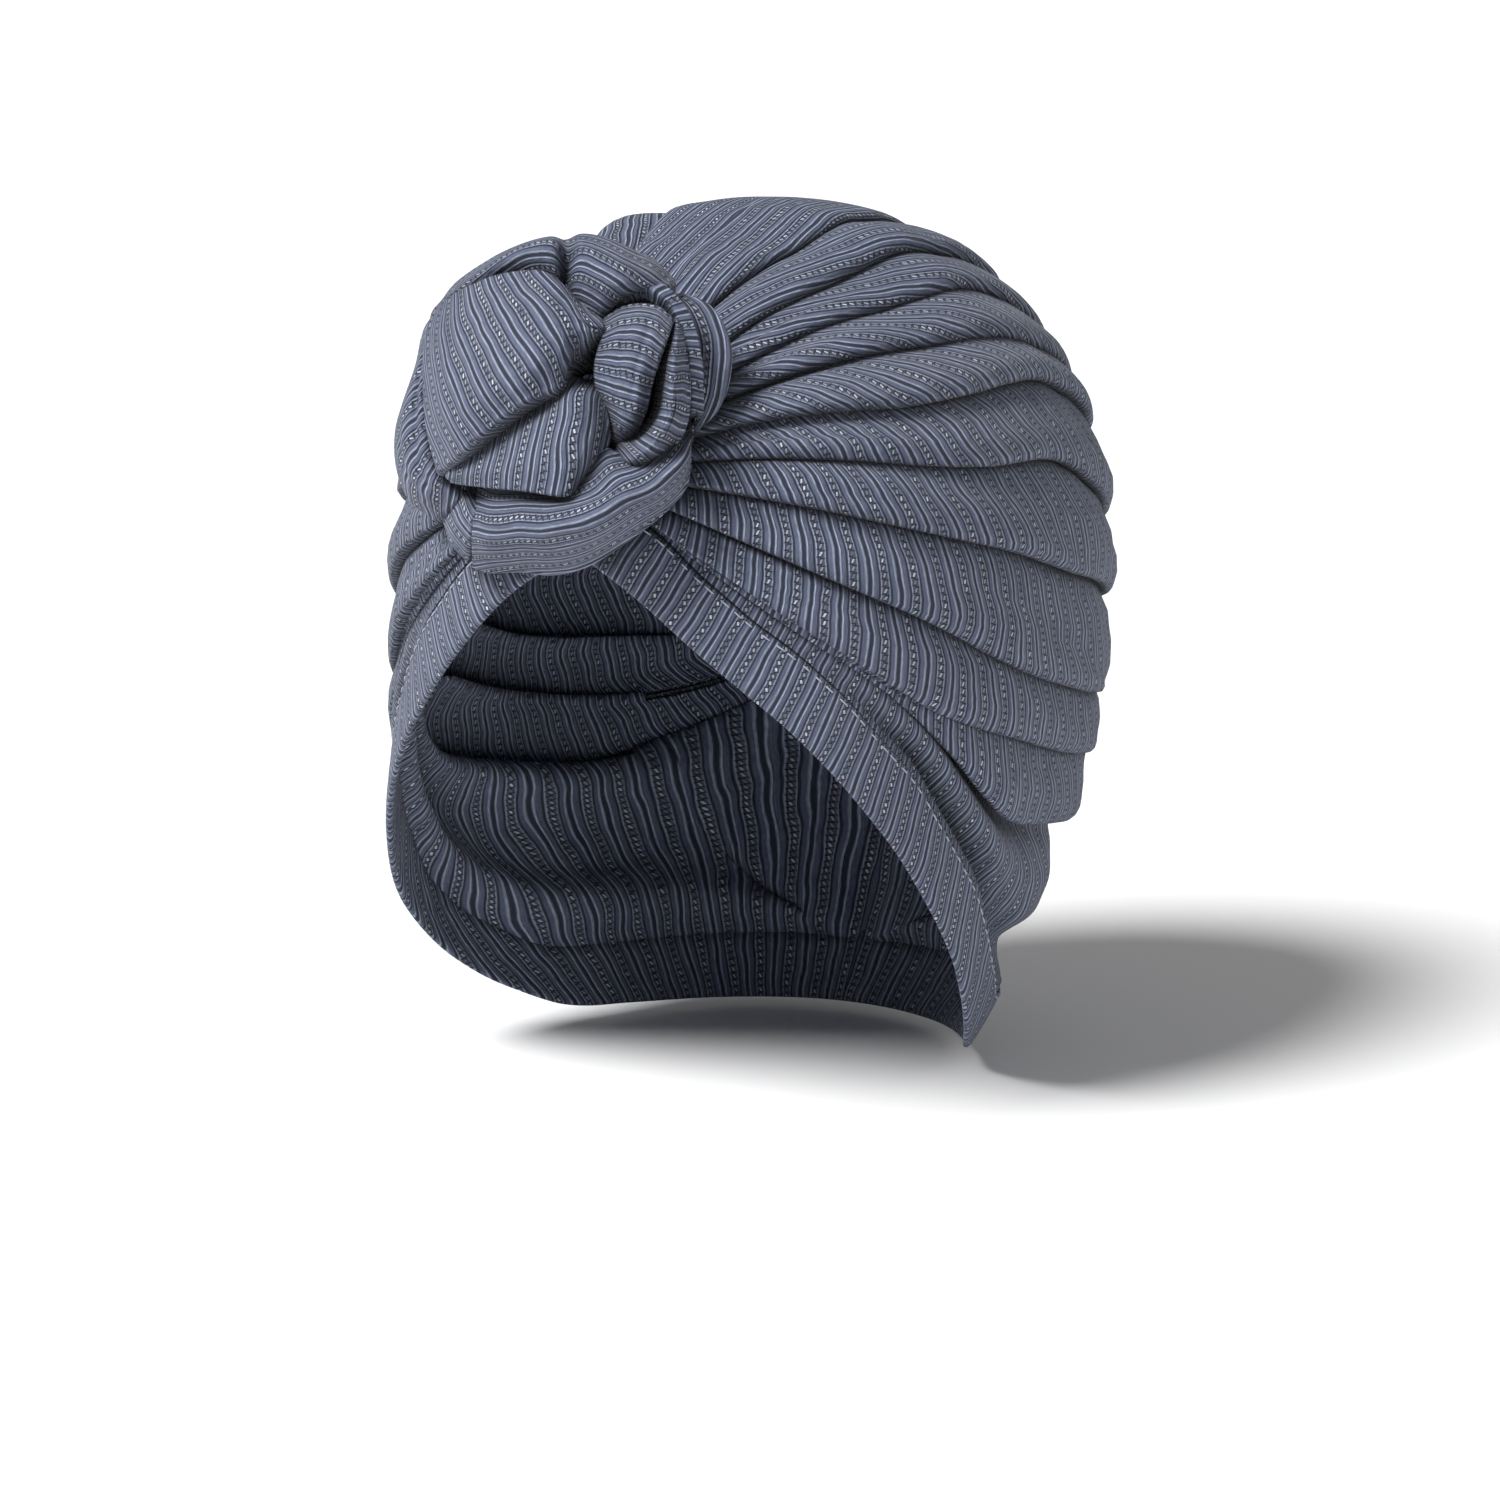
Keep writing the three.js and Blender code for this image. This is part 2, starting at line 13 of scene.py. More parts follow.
import bpy
import numpy as np
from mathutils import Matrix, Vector

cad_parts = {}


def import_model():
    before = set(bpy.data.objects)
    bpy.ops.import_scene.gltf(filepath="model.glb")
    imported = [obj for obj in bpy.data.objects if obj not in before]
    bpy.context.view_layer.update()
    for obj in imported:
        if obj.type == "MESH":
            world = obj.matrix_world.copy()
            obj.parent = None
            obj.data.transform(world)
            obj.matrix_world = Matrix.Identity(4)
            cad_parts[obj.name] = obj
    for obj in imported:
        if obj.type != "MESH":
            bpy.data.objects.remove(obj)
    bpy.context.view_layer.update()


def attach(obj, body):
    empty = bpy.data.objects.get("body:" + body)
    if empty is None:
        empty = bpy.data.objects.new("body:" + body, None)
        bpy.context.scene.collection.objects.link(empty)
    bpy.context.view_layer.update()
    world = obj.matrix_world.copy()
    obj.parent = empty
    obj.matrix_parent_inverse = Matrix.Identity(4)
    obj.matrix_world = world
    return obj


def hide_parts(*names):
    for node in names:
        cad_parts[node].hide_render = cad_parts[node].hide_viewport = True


LOG = logging.getLogger("turban")

MM = 0.001
# Points of a mesh that lie closer than this are one point.
CLOSE = 0.02 * MM
# Height of a point well inside the cap, from which its faces look outwards.
INSIDE_HEIGHT = -100 * MM
# Cut area of a sheet over the area that shows, for its edges.
EDGE_ALLOWANCE = 1.02

Rows = tuple[tuple[float, ...], ...]
Span = tuple[float, float]
Stops = tuple[tuple[float, str], ...]
TracedRows = tuple[tuple[tuple[float, float, float], ...], ...]


def table_value(rows: Rows | np.ndarray, column: int, at: np.ndarray) -> np.ndarray:
    """Smooth value of one column of a table whose first column is the place.

    Args:
        rows: The table, in rising order of its first column.
        column: The column to read.
        at: The places to read it at.

    Returns:
        One value for each place.
    """
    table = np.array(rows, dtype=float)
    place, value = table[:, 0], table[:, column]
    at = np.clip(at, place[0], place[-1])
    row = np.clip(np.searchsorted(place, at, side="right") - 1, 0, len(place) - 2)
    before, after = np.maximum(row - 1, 0), np.minimum(row + 2, len(place) - 1)
    span = place[row + 1] - place[row]
    share = (at - place[row]) / span
    start_slope = (value[row + 1] - value[before]) / (place[row + 1] - place[before])
    end_slope = (value[after] - value[row]) / (place[after] - place[row])
    square, cube = share**2, share**3
    return (
        value[row] * (2 * cube - 3 * square + 1)
        + start_slope * span * (cube - 2 * square + share)
        + value[row + 1] * (3 * square - 2 * cube)
        + end_slope * span * (cube - square)
    )


def refined(table: np.ndarray, at: np.ndarray, axis: int) -> np.ndarray:
    """Smooth values between the entries of an array.

    Args:
        table: The array.
        at: Places along the axis, counted in entries.
        axis: The axis to refine.

    Returns:
        The array with one entry for each place along that axis.
    """
    moved = np.moveaxis(table, axis, 0)
    shape = moved.shape
    columns = moved.reshape(shape[0], -1)
    rows = np.column_stack((np.arange(shape[0], dtype=float), columns))
    values = [table_value(rows, 1 + column, at) for column in range(columns.shape[1])]
    return np.moveaxis(np.stack(values, axis=1).reshape((len(at),) + shape[1:]), 0, axis)


def smooth_step(low: float, high: float, at: np.ndarray) -> np.ndarray:
    """Share from 0 at low to 1 at high, with soft ends."""
    share = np.clip((at - low) / (high - low), 0.0, 1.0)
    return share * share * (3 - 2 * share)


def window(rising: Span, falling: Span, at: np.ndarray) -> np.ndarray:
    """Share that rises from 0 to 1 over one span and falls back over another."""
    return smooth_step(*rising, at) * (1 - smooth_step(*falling, at))


def wave(at: np.ndarray, seed: float) -> np.ndarray:
    """Smooth uneven wave between about -1 and 1, another one for each seed."""
    return (
        np.sin(at + seed * 1.7) + 0.6 * np.sin(at * 1.83 + seed * 4.1)
        + 0.4 * np.sin(at * 3.1 + seed * 2.3)
    ) / 2


def unit(vectors: np.ndarray) -> np.ndarray:
    """The vectors at length one."""
    return vectors / np.maximum(np.linalg.norm(vectors, axis=-1, keepdims=True), 1e-12)


def run_along(points: np.ndarray) -> np.ndarray:
    """Distance travelled down the rows of a grid of points, from its first row."""
    steps = np.linalg.norm(np.diff(points, axis=0), axis=-1)
    return np.concatenate((np.zeros((1,) + steps.shape[1:]), np.cumsum(steps, axis=0)))


def turned_run(along: np.ndarray, across: np.ndarray, angle: float) -> np.ndarray:
    """Flat coordinates of cloth whose stripes are turned by an angle from the way along."""
    return np.stack((
        along * math.sin(angle) - across * math.cos(angle),
        along * math.cos(angle) + across * math.sin(angle),
    ), axis=-1)


@dataclass(frozen=True)
class InnerForm:
    """The rounded form inside the cap, which the cloth lies on."""

    half_width: float = 85 * MM
    front_reach: float = 100 * MM
    back_reach: float = 107 * MM
    top_reach: float = 95.5 * MM
    front_depth: float = 178 * MM
    back_depth: float = 146 * MM
    squareness: float = 2.2
    top_lean: float = 7 * MM
    centre_drop: float = 97.26 * MM
    halvings: int = 40

    @property
    def drop(self) -> np.ndarray:
        """The way down from the frame's origin to the form's centre."""
        return np.array((0, 0, -self.centre_drop))

    def sizes(self, points: np.ndarray) -> tuple[np.ndarray, np.ndarray, np.ndarray]:
        """Sizes of the form that hold at each point.

        Args:
            points: Any places.

        Returns:
            Reach to the front or back, height or depth, and how far the form leans back.
        """
        lean = self.top_lean * (np.maximum(points[..., 2], 0) / self.top_reach) ** 2
        backwards = smooth_step(-self.front_reach, self.back_reach, points[..., 1])
        depth = self.front_depth + (self.back_depth - self.front_depth) * backwards
        reach = np.where(points[..., 1] < lean, self.front_reach, self.back_reach)
        height = np.where(points[..., 2] < 0, depth, self.top_reach)
        return reach, height, lean

    def level(self, points: np.ndarray) -> np.ndarray:
        """Level of the form: below 1 inside and above 1 outside."""
        reach, height, lean = self.sizes(points)
        return (
            np.abs(points[..., 0] / self.half_width) ** self.squareness
            + np.abs((points[..., 1] - lean) / reach) ** self.squareness
            + np.abs(points[..., 2] / height) ** self.squareness
        )

    def normal(self, points: np.ndarray) -> np.ndarray:
        """Outward direction at points on the form.

        Args:
            points: Places on the form.

        Returns:
            One direction for each place, at length one.
        """
        reach, height, lean = self.sizes(points)

        def slope(value: np.ndarray, size: np.ndarray | float) -> np.ndarray:
            """Rise of the level along one axis."""
            return np.sign(value) * np.abs(value / size) ** (self.squareness - 1) / size

        parts = (
            slope(points[..., 0], self.half_width),
            slope(points[..., 1] - lean, reach),
            slope(points[..., 2], height),
        )
        return unit(np.stack(parts, axis=-1))

    def hit(self, start: np.ndarray, direction: np.ndarray) -> np.ndarray:
        """Points where rays from inside the form meet it.

        Args:
            start: Where the rays start.
            direction: Their directions, at length one.

        Returns:
            One point for each ray.
        """
        near = np.zeros(direction.shape[:-1])
        far = near + self.front_depth + self.back_reach
        for _ in range(self.halvings):
            middle = (near + far) / 2
            inside = self.level(start + direction * middle[..., None]) < 1
            near = np.where(inside, middle, near)
            far = np.where(inside, far, middle)
        return start + direction * near[..., None]

    def at_angle(self, angle: np.ndarray | float, height: np.ndarray | float) -> np.ndarray:
        """Points of the form round the cap.

        Args:
            angle: Angles round the cap in radians, 0 at the front.
            height: Their heights.

        Returns:
            One point for each angle.
        """
        angle, height = np.broadcast_arrays(np.asarray(angle, float), np.asarray(height, float))
        level = np.stack((0 * height, 0 * height, height), axis=-1)
        outwards = np.stack((np.sin(angle), -np.cos(angle), 0 * angle), axis=-1)
        return self.hit(level, outwards)


@dataclass(frozen=True)
class Rim:
    """The lower edge of the cap: a peak at the front, and down both sides to the back."""

    form: InnerForm
    peak_height: float = 22 * MM
    rear_depth: float = 127 * MM
    hem_width: float = 15 * MM
    seam_gap: float = 0.35 * MM
    # Angle in radians over which the rim's slope is measured.
    slope_step: float = 0.01
    # Angle round the cap in degrees, and share of the whole drop from the peak.
    drops: Rows = (
        (0, 0), (10, 0.075), (18, 0.155), (24, 0.215), (31, 0.285), (38, 0.365), (44, 0.44),
        (50, 0.515), (58, 0.62), (67, 0.725), (77, 0.83), (87, 0.905), (100, 0.965),
        (120, 0.99), (150, 1), (180, 1),
    )

    @property
    def seam(self) -> float:
        """Distance up from the rim's edge to the cloth over the hem."""
        return self.hem_width + self.seam_gap

    def height(self, angle: np.ndarray, above: np.ndarray | float) -> np.ndarray:
        """Height of the rim, plus a distance that is square to it.

        Args:
            angle: Angle round the cap in radians, 0 at the front.
            above: Distance up from the rim's edge along the cloth.

        Returns:
            Heights over the centre of the inner form.
        """
        depth = self.peak_height + self.rear_depth
        step = self.slope_step
        near = np.minimum(angle, math.pi - step)

        def drop(at: np.ndarray) -> np.ndarray:
            """Share of the drop at an angle."""
            return table_value(self.drops, 1, np.degrees(at))

        height = self.peak_height - drop(angle) * depth
        ahead, here = self.form.at_angle(near + step, height), self.form.at_angle(near, height)
        run = np.linalg.norm(ahead - here, axis=-1)
        slope = (drop(near + step) - drop(near)) * depth / run
        return height + above * np.hypot(1, slope)


@dataclass(frozen=True)
class PleatLines:
    """The lines along which the pleats run, from under the knot to the middle of the back."""

    form: InnerForm
    rim: Rim
    end_depth: float = 22 * MM

    @property
    def start(self) -> np.ndarray:
        """Where the pleats start, under the knot."""
        return self.form.at_angle(0.0, self.rim.height(np.array(0.0), self.rim.seam))

    @property
    def end(self) -> np.ndarray:
        """Where the pleats run out, at the middle of the back."""
        return self.form.at_angle(math.pi, -self.end_depth)

    def axes(self) -> tuple[np.ndarray, np.ndarray, np.ndarray, np.ndarray]:
        """The straight line from start to end, which all pleats go round.

        Returns:
            Its middle point, its direction, and the directions sideways and upwards from it.
        """
        axis = unit(self.end - self.start)
        sideways = np.array((1.0, 0, 0))
        return (self.start + self.end) / 2, axis, sideways, np.cross(sideways, axis)

    def point(self, way: np.ndarray, roll: np.ndarray) -> np.ndarray:
        """Points of the form.

        Args:
            way: Share of the way from the start to the end.
            roll: Roll of the line in radians, a quarter turn on the middle of the crown.

        Returns:
            One point for each pair.
        """
        middle, axis, sideways, upwards = self.axes()
        side = np.cos(roll)[..., None] * sideways + np.sin(roll)[..., None] * upwards
        turn = (way * math.pi)[..., None]
        return self.form.hit(middle, side * np.sin(turn) - axis * np.cos(turn))

    def place(self, points: np.ndarray) -> tuple[np.ndarray, np.ndarray]:
        """Where points on the form lie among the lines.

        Args:
            points: Places on the form.

        Returns:
            Their share of the way from the start to the end, and their roll in radians.
        """
        middle, axis, sideways, upwards = self.axes()
        offset = points - middle
        along, across, up = offset @ axis, offset @ sideways, offset @ upwards
        return np.arctan2(np.hypot(across, up), -along) / math.pi, np.arctan2(up, across)


def linear(code: str) -> tuple[float, float, float, float]:
    """Linear colour of an sRGB hex code.

    Args:
        code: Six hex digits, such as 5B6271.

    Returns:
        Red, green, blue and an alpha of 1.
    """
    shares = [int(code[place:place + 2], 16) / 255 for place in (0, 2, 4)]
    values = [s / 12.92 if s <= 0.04045 else ((s + 0.055) / 1.055) ** 2.4 for s in shares]
    return (*values, 1.0)


def clear_selection() -> None:
    """Deselects everything, so that an operator acts on its own piece alone."""
    if bpy.context.mode != "OBJECT":
        bpy.ops.object.mode_set(mode="OBJECT")
    bpy.ops.object.select_all(action="DESELECT")


def pick(piece: bpy.types.Object) -> None:
    """Selects one piece alone, as the active one."""
    clear_selection()
    piece.select_set(True)
    bpy.context.view_layer.objects.active = piece


def edit_whole(
    piece: bpy.types.Object, operator: Callable[..., object], **settings: object
) -> None:
    """Runs an operator of edit mode on the whole mesh of a piece.

    Args:
        piece: The piece.
        operator: The operator.
        settings: The operator's settings.
    """
    pick(piece)
    bpy.ops.object.mode_set(mode="EDIT")
    bpy.ops.mesh.select_all(action="SELECT")
    operator(**settings)
    bpy.ops.object.mode_set(mode="OBJECT")


def cloth_piece(name: str, points: np.ndarray, run: np.ndarray) -> bpy.types.Object:
    """A sheet of cloth, from a flat grid whose points are moved to their places.

    Args:
        name: The piece's name.
        points: Places, rows by columns by 3.
        run: The cloth's own flat coordinates at each point, rows by columns by 2.

    Returns:
        The piece, with its flat coordinates in the UV map cloth.
    """
    rows, columns = points.shape[:2]
    clear_selection()
    bpy.ops.mesh.primitive_grid_add(
        x_subdivisions=columns - 1, y_subdivisions=rows - 1, size=1, calc_uvs=False
    )
    piece = bpy.context.active_object
    piece.name = piece.data.name = name
    mesh = piece.data
    mesh.vertices.foreach_set("co", points.reshape(-1).astype(np.float32))
    layer = mesh.uv_layers.new(name="cloth")
    corners = np.empty(len(mesh.loops), dtype=np.int32)
    mesh.loops.foreach_get("vertex_index", corners)
    layer.data.foreach_set("uv", run.reshape(-1, 2)[corners].reshape(-1).astype(np.float32))
    mesh.update()
    bpy.ops.object.shade_smooth()
    return piece


def face_outward(piece: bpy.types.Object) -> None:
    """Turns all faces of a sheet the same way, away from the inside of the cap.

    Args:
        piece: The sheet, still without a wall.
    """
    edit_whole(piece, bpy.ops.mesh.normals_make_consistent, inside=False)
    faces = piece.data.polygons
    normals = np.empty(len(faces) * 3)
    centres = np.empty(len(faces) * 3)
    faces.foreach_get("normal", normals)
    faces.foreach_get("center", centres)
    inside = np.array((0.0, 0.0, INSIDE_HEIGHT))
    outward = (normals.reshape(-1, 3) * (centres.reshape(-1, 3) - inside)).sum()
    if outward < 0:
        edit_whole(piece, bpy.ops.mesh.flip_normals)


def thicken(piece: bpy.types.Object, wall: float) -> None:
    """Gives a sheet its wall, inwards.

    Args:
        piece: The sheet.
        wall: Thickness of the cloth.
    """
    pick(piece)
    modifier = piece.modifiers.new("Solidify", "SOLIDIFY")
    modifier.thickness = wall
    modifier.offset = -1.0
    modifier.use_rim = True
    bpy.ops.object.modifier_apply(modifier=modifier.name)


def cloth_area(piece: bpy.types.Object) -> float:
    """Area of a sheet before its wall gets its thickness.

    Args:
        piece: The sheet.

    Returns:
        Its one-sided area.
    """
    areas = np.empty(len(piece.data.polygons))
    piece.data.polygons.foreach_get("area", areas)
    return float(areas.sum())


def flat_size(piece: bpy.types.Object, area: float) -> Span:
    """Cut size of a sheet, from its flat coordinates and its area.

    Args:
        piece: The sheet.
        area: Its one-sided area.

    Returns:
        Width and length, the length being the longer span of the flat coordinates.
    """
    layer = piece.data.uv_layers["cloth"]
    run = np.empty(len(layer.data) * 2)
    layer.data.foreach_get("uv", run)
    length = float(max(np.ptp(run.reshape(-1, 2), axis=0)))
    return area * EDGE_ALLOWANCE / length, length


def add_node(
    tree: bpy.types.NodeTree,
    kind: str,
    inputs: dict[int | str, object] | tuple[object, ...] = (),
    **settings: object,
) -> bpy.types.Node:
    """Adds a shader node with its settings and links.

    Args:
        tree: The node tree.
        kind: The node's type, without ShaderNode in front.
        inputs: Plain values, and sockets or nodes to link from, by input or in order. A node
            stands for its first output.
        settings: Properties of the node.

    Returns:
        The new node.
    """
    node = tree.nodes.new("ShaderNode" + kind)
    for key, value in settings.items():
        setattr(node, key, value)
    for key, value in inputs.items() if isinstance(inputs, dict) else enumerate(inputs):
        source = value.outputs[0] if isinstance(value, bpy.types.Node) else value
        if isinstance(source, bpy.types.NodeSocket):
            tree.links.new(source, node.inputs[key])
        else:
            node.inputs[key].default_value = source
    return node


@dataclass(frozen=True)
class RibKnit:
    """Slate blue-grey rib jersey of cotton and polyester, knitted and dyed.

    The knit gives a matt, slightly soft surface with raised ribs, and between them a line of
    small pale and dark stitches. Its colour also holds painted light: painted shade in the
    grooves and in the folds, and a painted highlight on the ridges. Its UV map gives metres
    across the ribs, then along them.
    """

    name: str = "rib_knit_slate"
    rib: str = "5A6278"
    # Paler colour of the ridges: a painted highlight.
    ridge_highlight: str = "9BA4BB"
    # Darker colour: painted shade in the grooves, and also the dark of the yarn grain.
    groove_shade_and_grain: str = "2A3041"
    stitch_light: str = "DDE2EC"
    stitch_dark: str = "171B26"
    # Colour of the painted shade in the folds.
    crease: str = "10131C"
    # Width of one repeat of ribs and stitches, and how far it drifts and kinks, as shares of
    # that width, over which distances.
    repeat: float = 7.2 * MM
    drift: float = 0.36
    drift_size: float = 30 * MM
    kink: float = 0.14
    kink_size: float = 8 * MM
    # The stitched line: pitch, slant of a stitch, half length as a share of the pitch, and half
    # widths of the pale thread and of the dark groove as shares of the repeat.
    stitch_pitch: float = 1.9 * MM
    stitch_slant: float = 0.12
    stitch_half: float = 0.27
    thread_half: float = 0.032
    groove_half: float = 0.085
    # Strength of each stitch: its least, and what chance adds to it.
    stitch_strength: Span = (0.1, 0.75)
    stitch_cover: float = 0.85
    # Cover of the dark groove beside the stitches, and how much less it is under one.
    groove_cover: Span = (0.8, 0.5)
    # Yarns: width and length of a streak, and slope and start of the shade that they give.
    yarn: float = 0.4 * MM
    streak: float = 2.2 * MM
    grain_cover: Span = (0.9, -0.3)
    # Painted shade in the folds, darker where other cloth is near: reach, slope and start of the
    # painted shade, and its most.
    painted_shade_reach: float = 9 * MM
    painted_shade_samples: int = 6
    painted_shade_ramp: Span = (-1.15, 1.05)
    painted_shade_most: float = 0.85
    # Relief: height of a rib, size of the crumples, and the parts' heights as shares of a rib.
    rib_height: float = 1.15 * MM
    crumple_size: float = 13 * MM
    grain_height: float = 0.35
    stitch_height: float = 0.5
    groove_depth: float = 0.5
    crumple_height: float = 1.8
    roughness: float = 0.78
    specular: float = 0.25
    sheen: float = 0.12
    sheen_roughness: float = 0.45

    def build(self) -> bpy.types.Material:
        """Makes the material.

        Returns:
            The material, which reads the UV map cloth.
        """
        material = bpy.data.materials.new(self.name)
        material.use_nodes = True
        tree = material.node_tree
        flat = add_node(tree, "UVMap", uv_map="cloth")
        place = add_node(tree, "TexCoord").outputs["Object"]
        across, along = self.counts(tree, flat, place)
        share = add_node(tree, "Math", (across,), operation="FRACT")
        ribs, tone = self.stripes(tree, share)
        pale, dark = self.stitches(tree, across, along, share)
        streak = add_node(
            tree, "VectorMath", (flat, (1 / self.yarn, 1 / self.streak, 1.0)),
            operation="MULTIPLY",
        )
        grain = add_node(tree, "TexNoise", {"Vector": streak, "Scale": 1.0, "Detail": 2.0})
        shader = tree.nodes["Principled BSDF"]
        colour = self.colour(tree, tone, grain, pale, dark)
        tree.links.new(colour, shader.inputs["Base Color"])
        relief = self.relief(tree, place, ribs, grain, pale, dark)
        tree.links.new(relief.outputs[0], shader.inputs["Normal"])
        shader.inputs["Roughness"].default_value = self.roughness
        shader.inputs["Specular IOR Level"].default_value = self.specular
        shader.inputs["Sheen Weight"].default_value = self.sheen
        shader.inputs["Sheen Roughness"].default_value = self.sheen_roughness
        return material

    def counts(
        self, tree: bpy.types.NodeTree, flat: bpy.types.Node, place: bpy.types.NodeSocket
    ) -> tuple[bpy.types.Node, bpy.types.Node]:
        """Counts the repeats, which drift and kink a little as in the real knit.

        Args:
            tree: The node tree.
            flat: The cloth's flat coordinates.
            place: The place in the frame.

        Returns:
            The count of repeats across and the count of stitches along.
        """
        parts = add_node(tree, "SeparateXYZ", (flat,))
        drift = add_node(
            tree, "TexNoise", {"Vector": place, "Scale": 1 / self.drift_size, "Detail": 1.0})
        kinks = add_node(
            tree, "TexNoise", {"Vector": place, "Scale": 1 / self.kink_size, "Detail": 0.0})
        middle = -(self.drift + self.kink) / 2
        shift = add_node(tree, "Math", (drift, self.drift, middle), operation="MULTIPLY_ADD")
        shift = add_node(tree, "Math", (kinks, self.kink, shift), operation="MULTIPLY_ADD")
        across = add_node(
            tree, "Math", (parts.outputs["X"], 1 / self.repeat, shift), operation="MULTIPLY_ADD")
        along = add_node(
            tree, "Math", (parts.outputs["Y"], self.stitch_pitch), operation="DIVIDE")
        return across, along

    def stripes(self, tree: bpy.types.NodeTree, share: bpy.types.Node) -> list[bpy.types.Node]:
        """Ribs and grooves across one repeat.

        Args:
            tree: The node tree.
            share: Share of the way across the repeat.

        Returns:
            Their height, and their tone, which holds painted shade in the grooves and a painted
            highlight on the ridges.
        """
        ramps = []
        for stops in (self.rib_profile(), self.rib_tones()):
            ramps.append(add_node(tree, "ValToRGB", (share,)))
            elements = ramps[-1].color_ramp.elements
            while len(elements) < len(stops):
                elements.new(0.5)
            for element, (place, code) in zip(elements, stops):
                element.position = place
                element.color = linear(code)
        return ramps

    def stitches(
        self,
        tree: bpy.types.NodeTree,
        across: bpy.types.Node,
        along: bpy.types.Node,
        share: bpy.types.Node,
    ) -> tuple[bpy.types.Node, bpy.types.Node]:
        """The line of stitches in the middle of each repeat.

        Args:
            tree: The node tree.
            across: Count of repeats across.
            along: Count of stitches along.
            share: Share of the way across the repeat.

        Returns:
            Cover of the pale threads and of the dark groove that they lie in.
        """
        beat = add_node(tree, "Math", (along,), operation="FRACT")
        row = add_node(tree, "Math", (across,), operation="FLOOR")
        number = add_node(tree, "Math", (along,), operation="FLOOR")
        seed = add_node(tree, "CombineXYZ", (row, number))
        chance = add_node(tree, "TexWhiteNoise", {"Vector": seed}).outputs["Value"]
        slant = add_node(
            tree, "Math", (beat, self.stitch_slant, -self.stitch_slant / 2),
            operation="MULTIPLY_ADD",
        )
        slanted = add_node(tree, "Math", (share, slant), operation="ADD")
        bright = add_node(tree, "Math", (beat, 0.5, self.stitch_half), operation="COMPARE")
        line = add_node(tree, "Math", (slanted, 0.5, self.thread_half), operation="COMPARE")
        pale = add_node(tree, "Math", (bright, line), operation="MULTIPLY")
        least, more = self.stitch_strength
        strength = add_node(tree, "Math", (chance, more, least), operation="MULTIPLY_ADD")
        pale = add_node(tree, "Math", (pale, strength), operation="MULTIPLY")
        cover, less = self.groove_cover
        hole = add_node(tree, "Math", (bright, -less, cover), operation="MULTIPLY_ADD")
        groove = add_node(tree, "Math", (slanted, 0.5, self.groove_half), operation="COMPARE")
        return pale, add_node(tree, "Math", (groove, hole), operation="MULTIPLY")

    def colour(
        self,
        tree: bpy.types.NodeTree,
        tone: bpy.types.Node,
        grain: bpy.types.Node,
        pale: bpy.types.Node,
        dark: bpy.types.Node,
    ) -> bpy.types.NodeSocket:
        """Colour of the knit, one layer over the other, with painted shade in the folds on top.

        Args:
            tree: The node tree.
            tone: Tone of the ribs, with painted shade in the grooves and a painted highlight on
                the ridges.
            grain: Noise of the yarns.
            pale: Cover of the pale threads.
            dark: Cover of the dark groove.

        Returns:
            The colour.
        """
        yarns = add_node(tree, "Math", (grain, *self.grain_cover), operation="MULTIPLY_ADD")
        threads = add_node(tree, "Math", (pale, self.stitch_cover), operation="MULTIPLY")
        # Painted shade: the colour darkens where other cloth is near, as in the folds.
        nearness = add_node(
            tree, "AmbientOcclusion", {"Distance": self.painted_shade_reach},
            samples=self.painted_shade_samples,
        )
        shade = add_node(
            tree, "Math", (nearness.outputs["AO"], *self.painted_shade_ramp), operation="MULTIPLY_ADD")
        shade = add_node(tree, "Math", (shade, 0.0), operation="MAXIMUM")
        shade = add_node(tree, "Math", (shade, self.painted_shade_most), operation="MINIMUM")
        colour = tone.outputs[0]
        # Layers: dark yarn grain, dark stitch groove, pale threads, and last the painted shade in
        # the folds.
        layers = (
            (self.groove_shade_and_grain, yarns), (self.stitch_dark, dark), (self.stitch_light, threads),
            (self.crease, shade),
        )
        for code, cover in layers:
            layer = add_node(
                tree, "Mix", {0: cover, 6: colour, 7: linear(code)},
                data_type="RGBA", clamp_factor=True,
            )
            colour = layer.outputs[2]
        return colour

    def relief(
        self,
        tree: bpy.types.NodeTree,
        place: bpy.types.NodeSocket,
        ribs: bpy.types.Node,
        grain: bpy.types.Node,
        pale: bpy.types.Node,
        dark: bpy.types.Node,
    ) -> bpy.types.Node:
        """Bump of the knit.

        Args:
            tree: The node tree.
            place: The place in the frame.
            ribs: Height of the ribs.
            grain: Noise of the yarns.
            pale: Cover of the pale threads.
            dark: Cover of the dark groove.

        Returns:
            The bump, whose output is the normal.
        """
        crumples = add_node(
            tree, "TexNoise", {"Vector": place, "Scale": 1 / self.crumple_size, "Detail": 2.0})
        height = ribs
        parts = (
            (grain, self.grain_height), (pale, self.stitch_height), (dark, -self.groove_depth),
            (crumples, self.crumple_height),
        )
        for part, share in parts:
            height = add_node(tree, "Math", (part, share, height), operation="MULTIPLY_ADD")
        return add_node(
            tree, "Bump", {"Height": height, "Distance": self.rib_height, "Strength": 1.0})

    def rib_profile(self) -> Stops:
        """Heights across one repeat, as greys, with the stitched line in its middle."""
        return (
            (0.0, "404040"), (0.05, "484848"), (0.08, "F0F0F0"), (0.12, "FFFFFF"),
            (0.16, "A0A0A0"), (0.26, "989898"), (0.29, "303030"), (0.32, "303030"),
            (0.35, "F0F0F0"), (0.4, "F8F8F8"), (0.44, "707070"), (0.56, "707070"),
            (0.6, "F8F8F8"), (0.65, "F0F0F0"), (0.68, "303030"), (0.71, "303030"),
            (0.74, "989898"), (0.84, "A0A0A0"), (0.88, "FFFFFF"), (0.92, "F0F0F0"),
            (0.95, "484848"), (1.0, "404040"),
        )

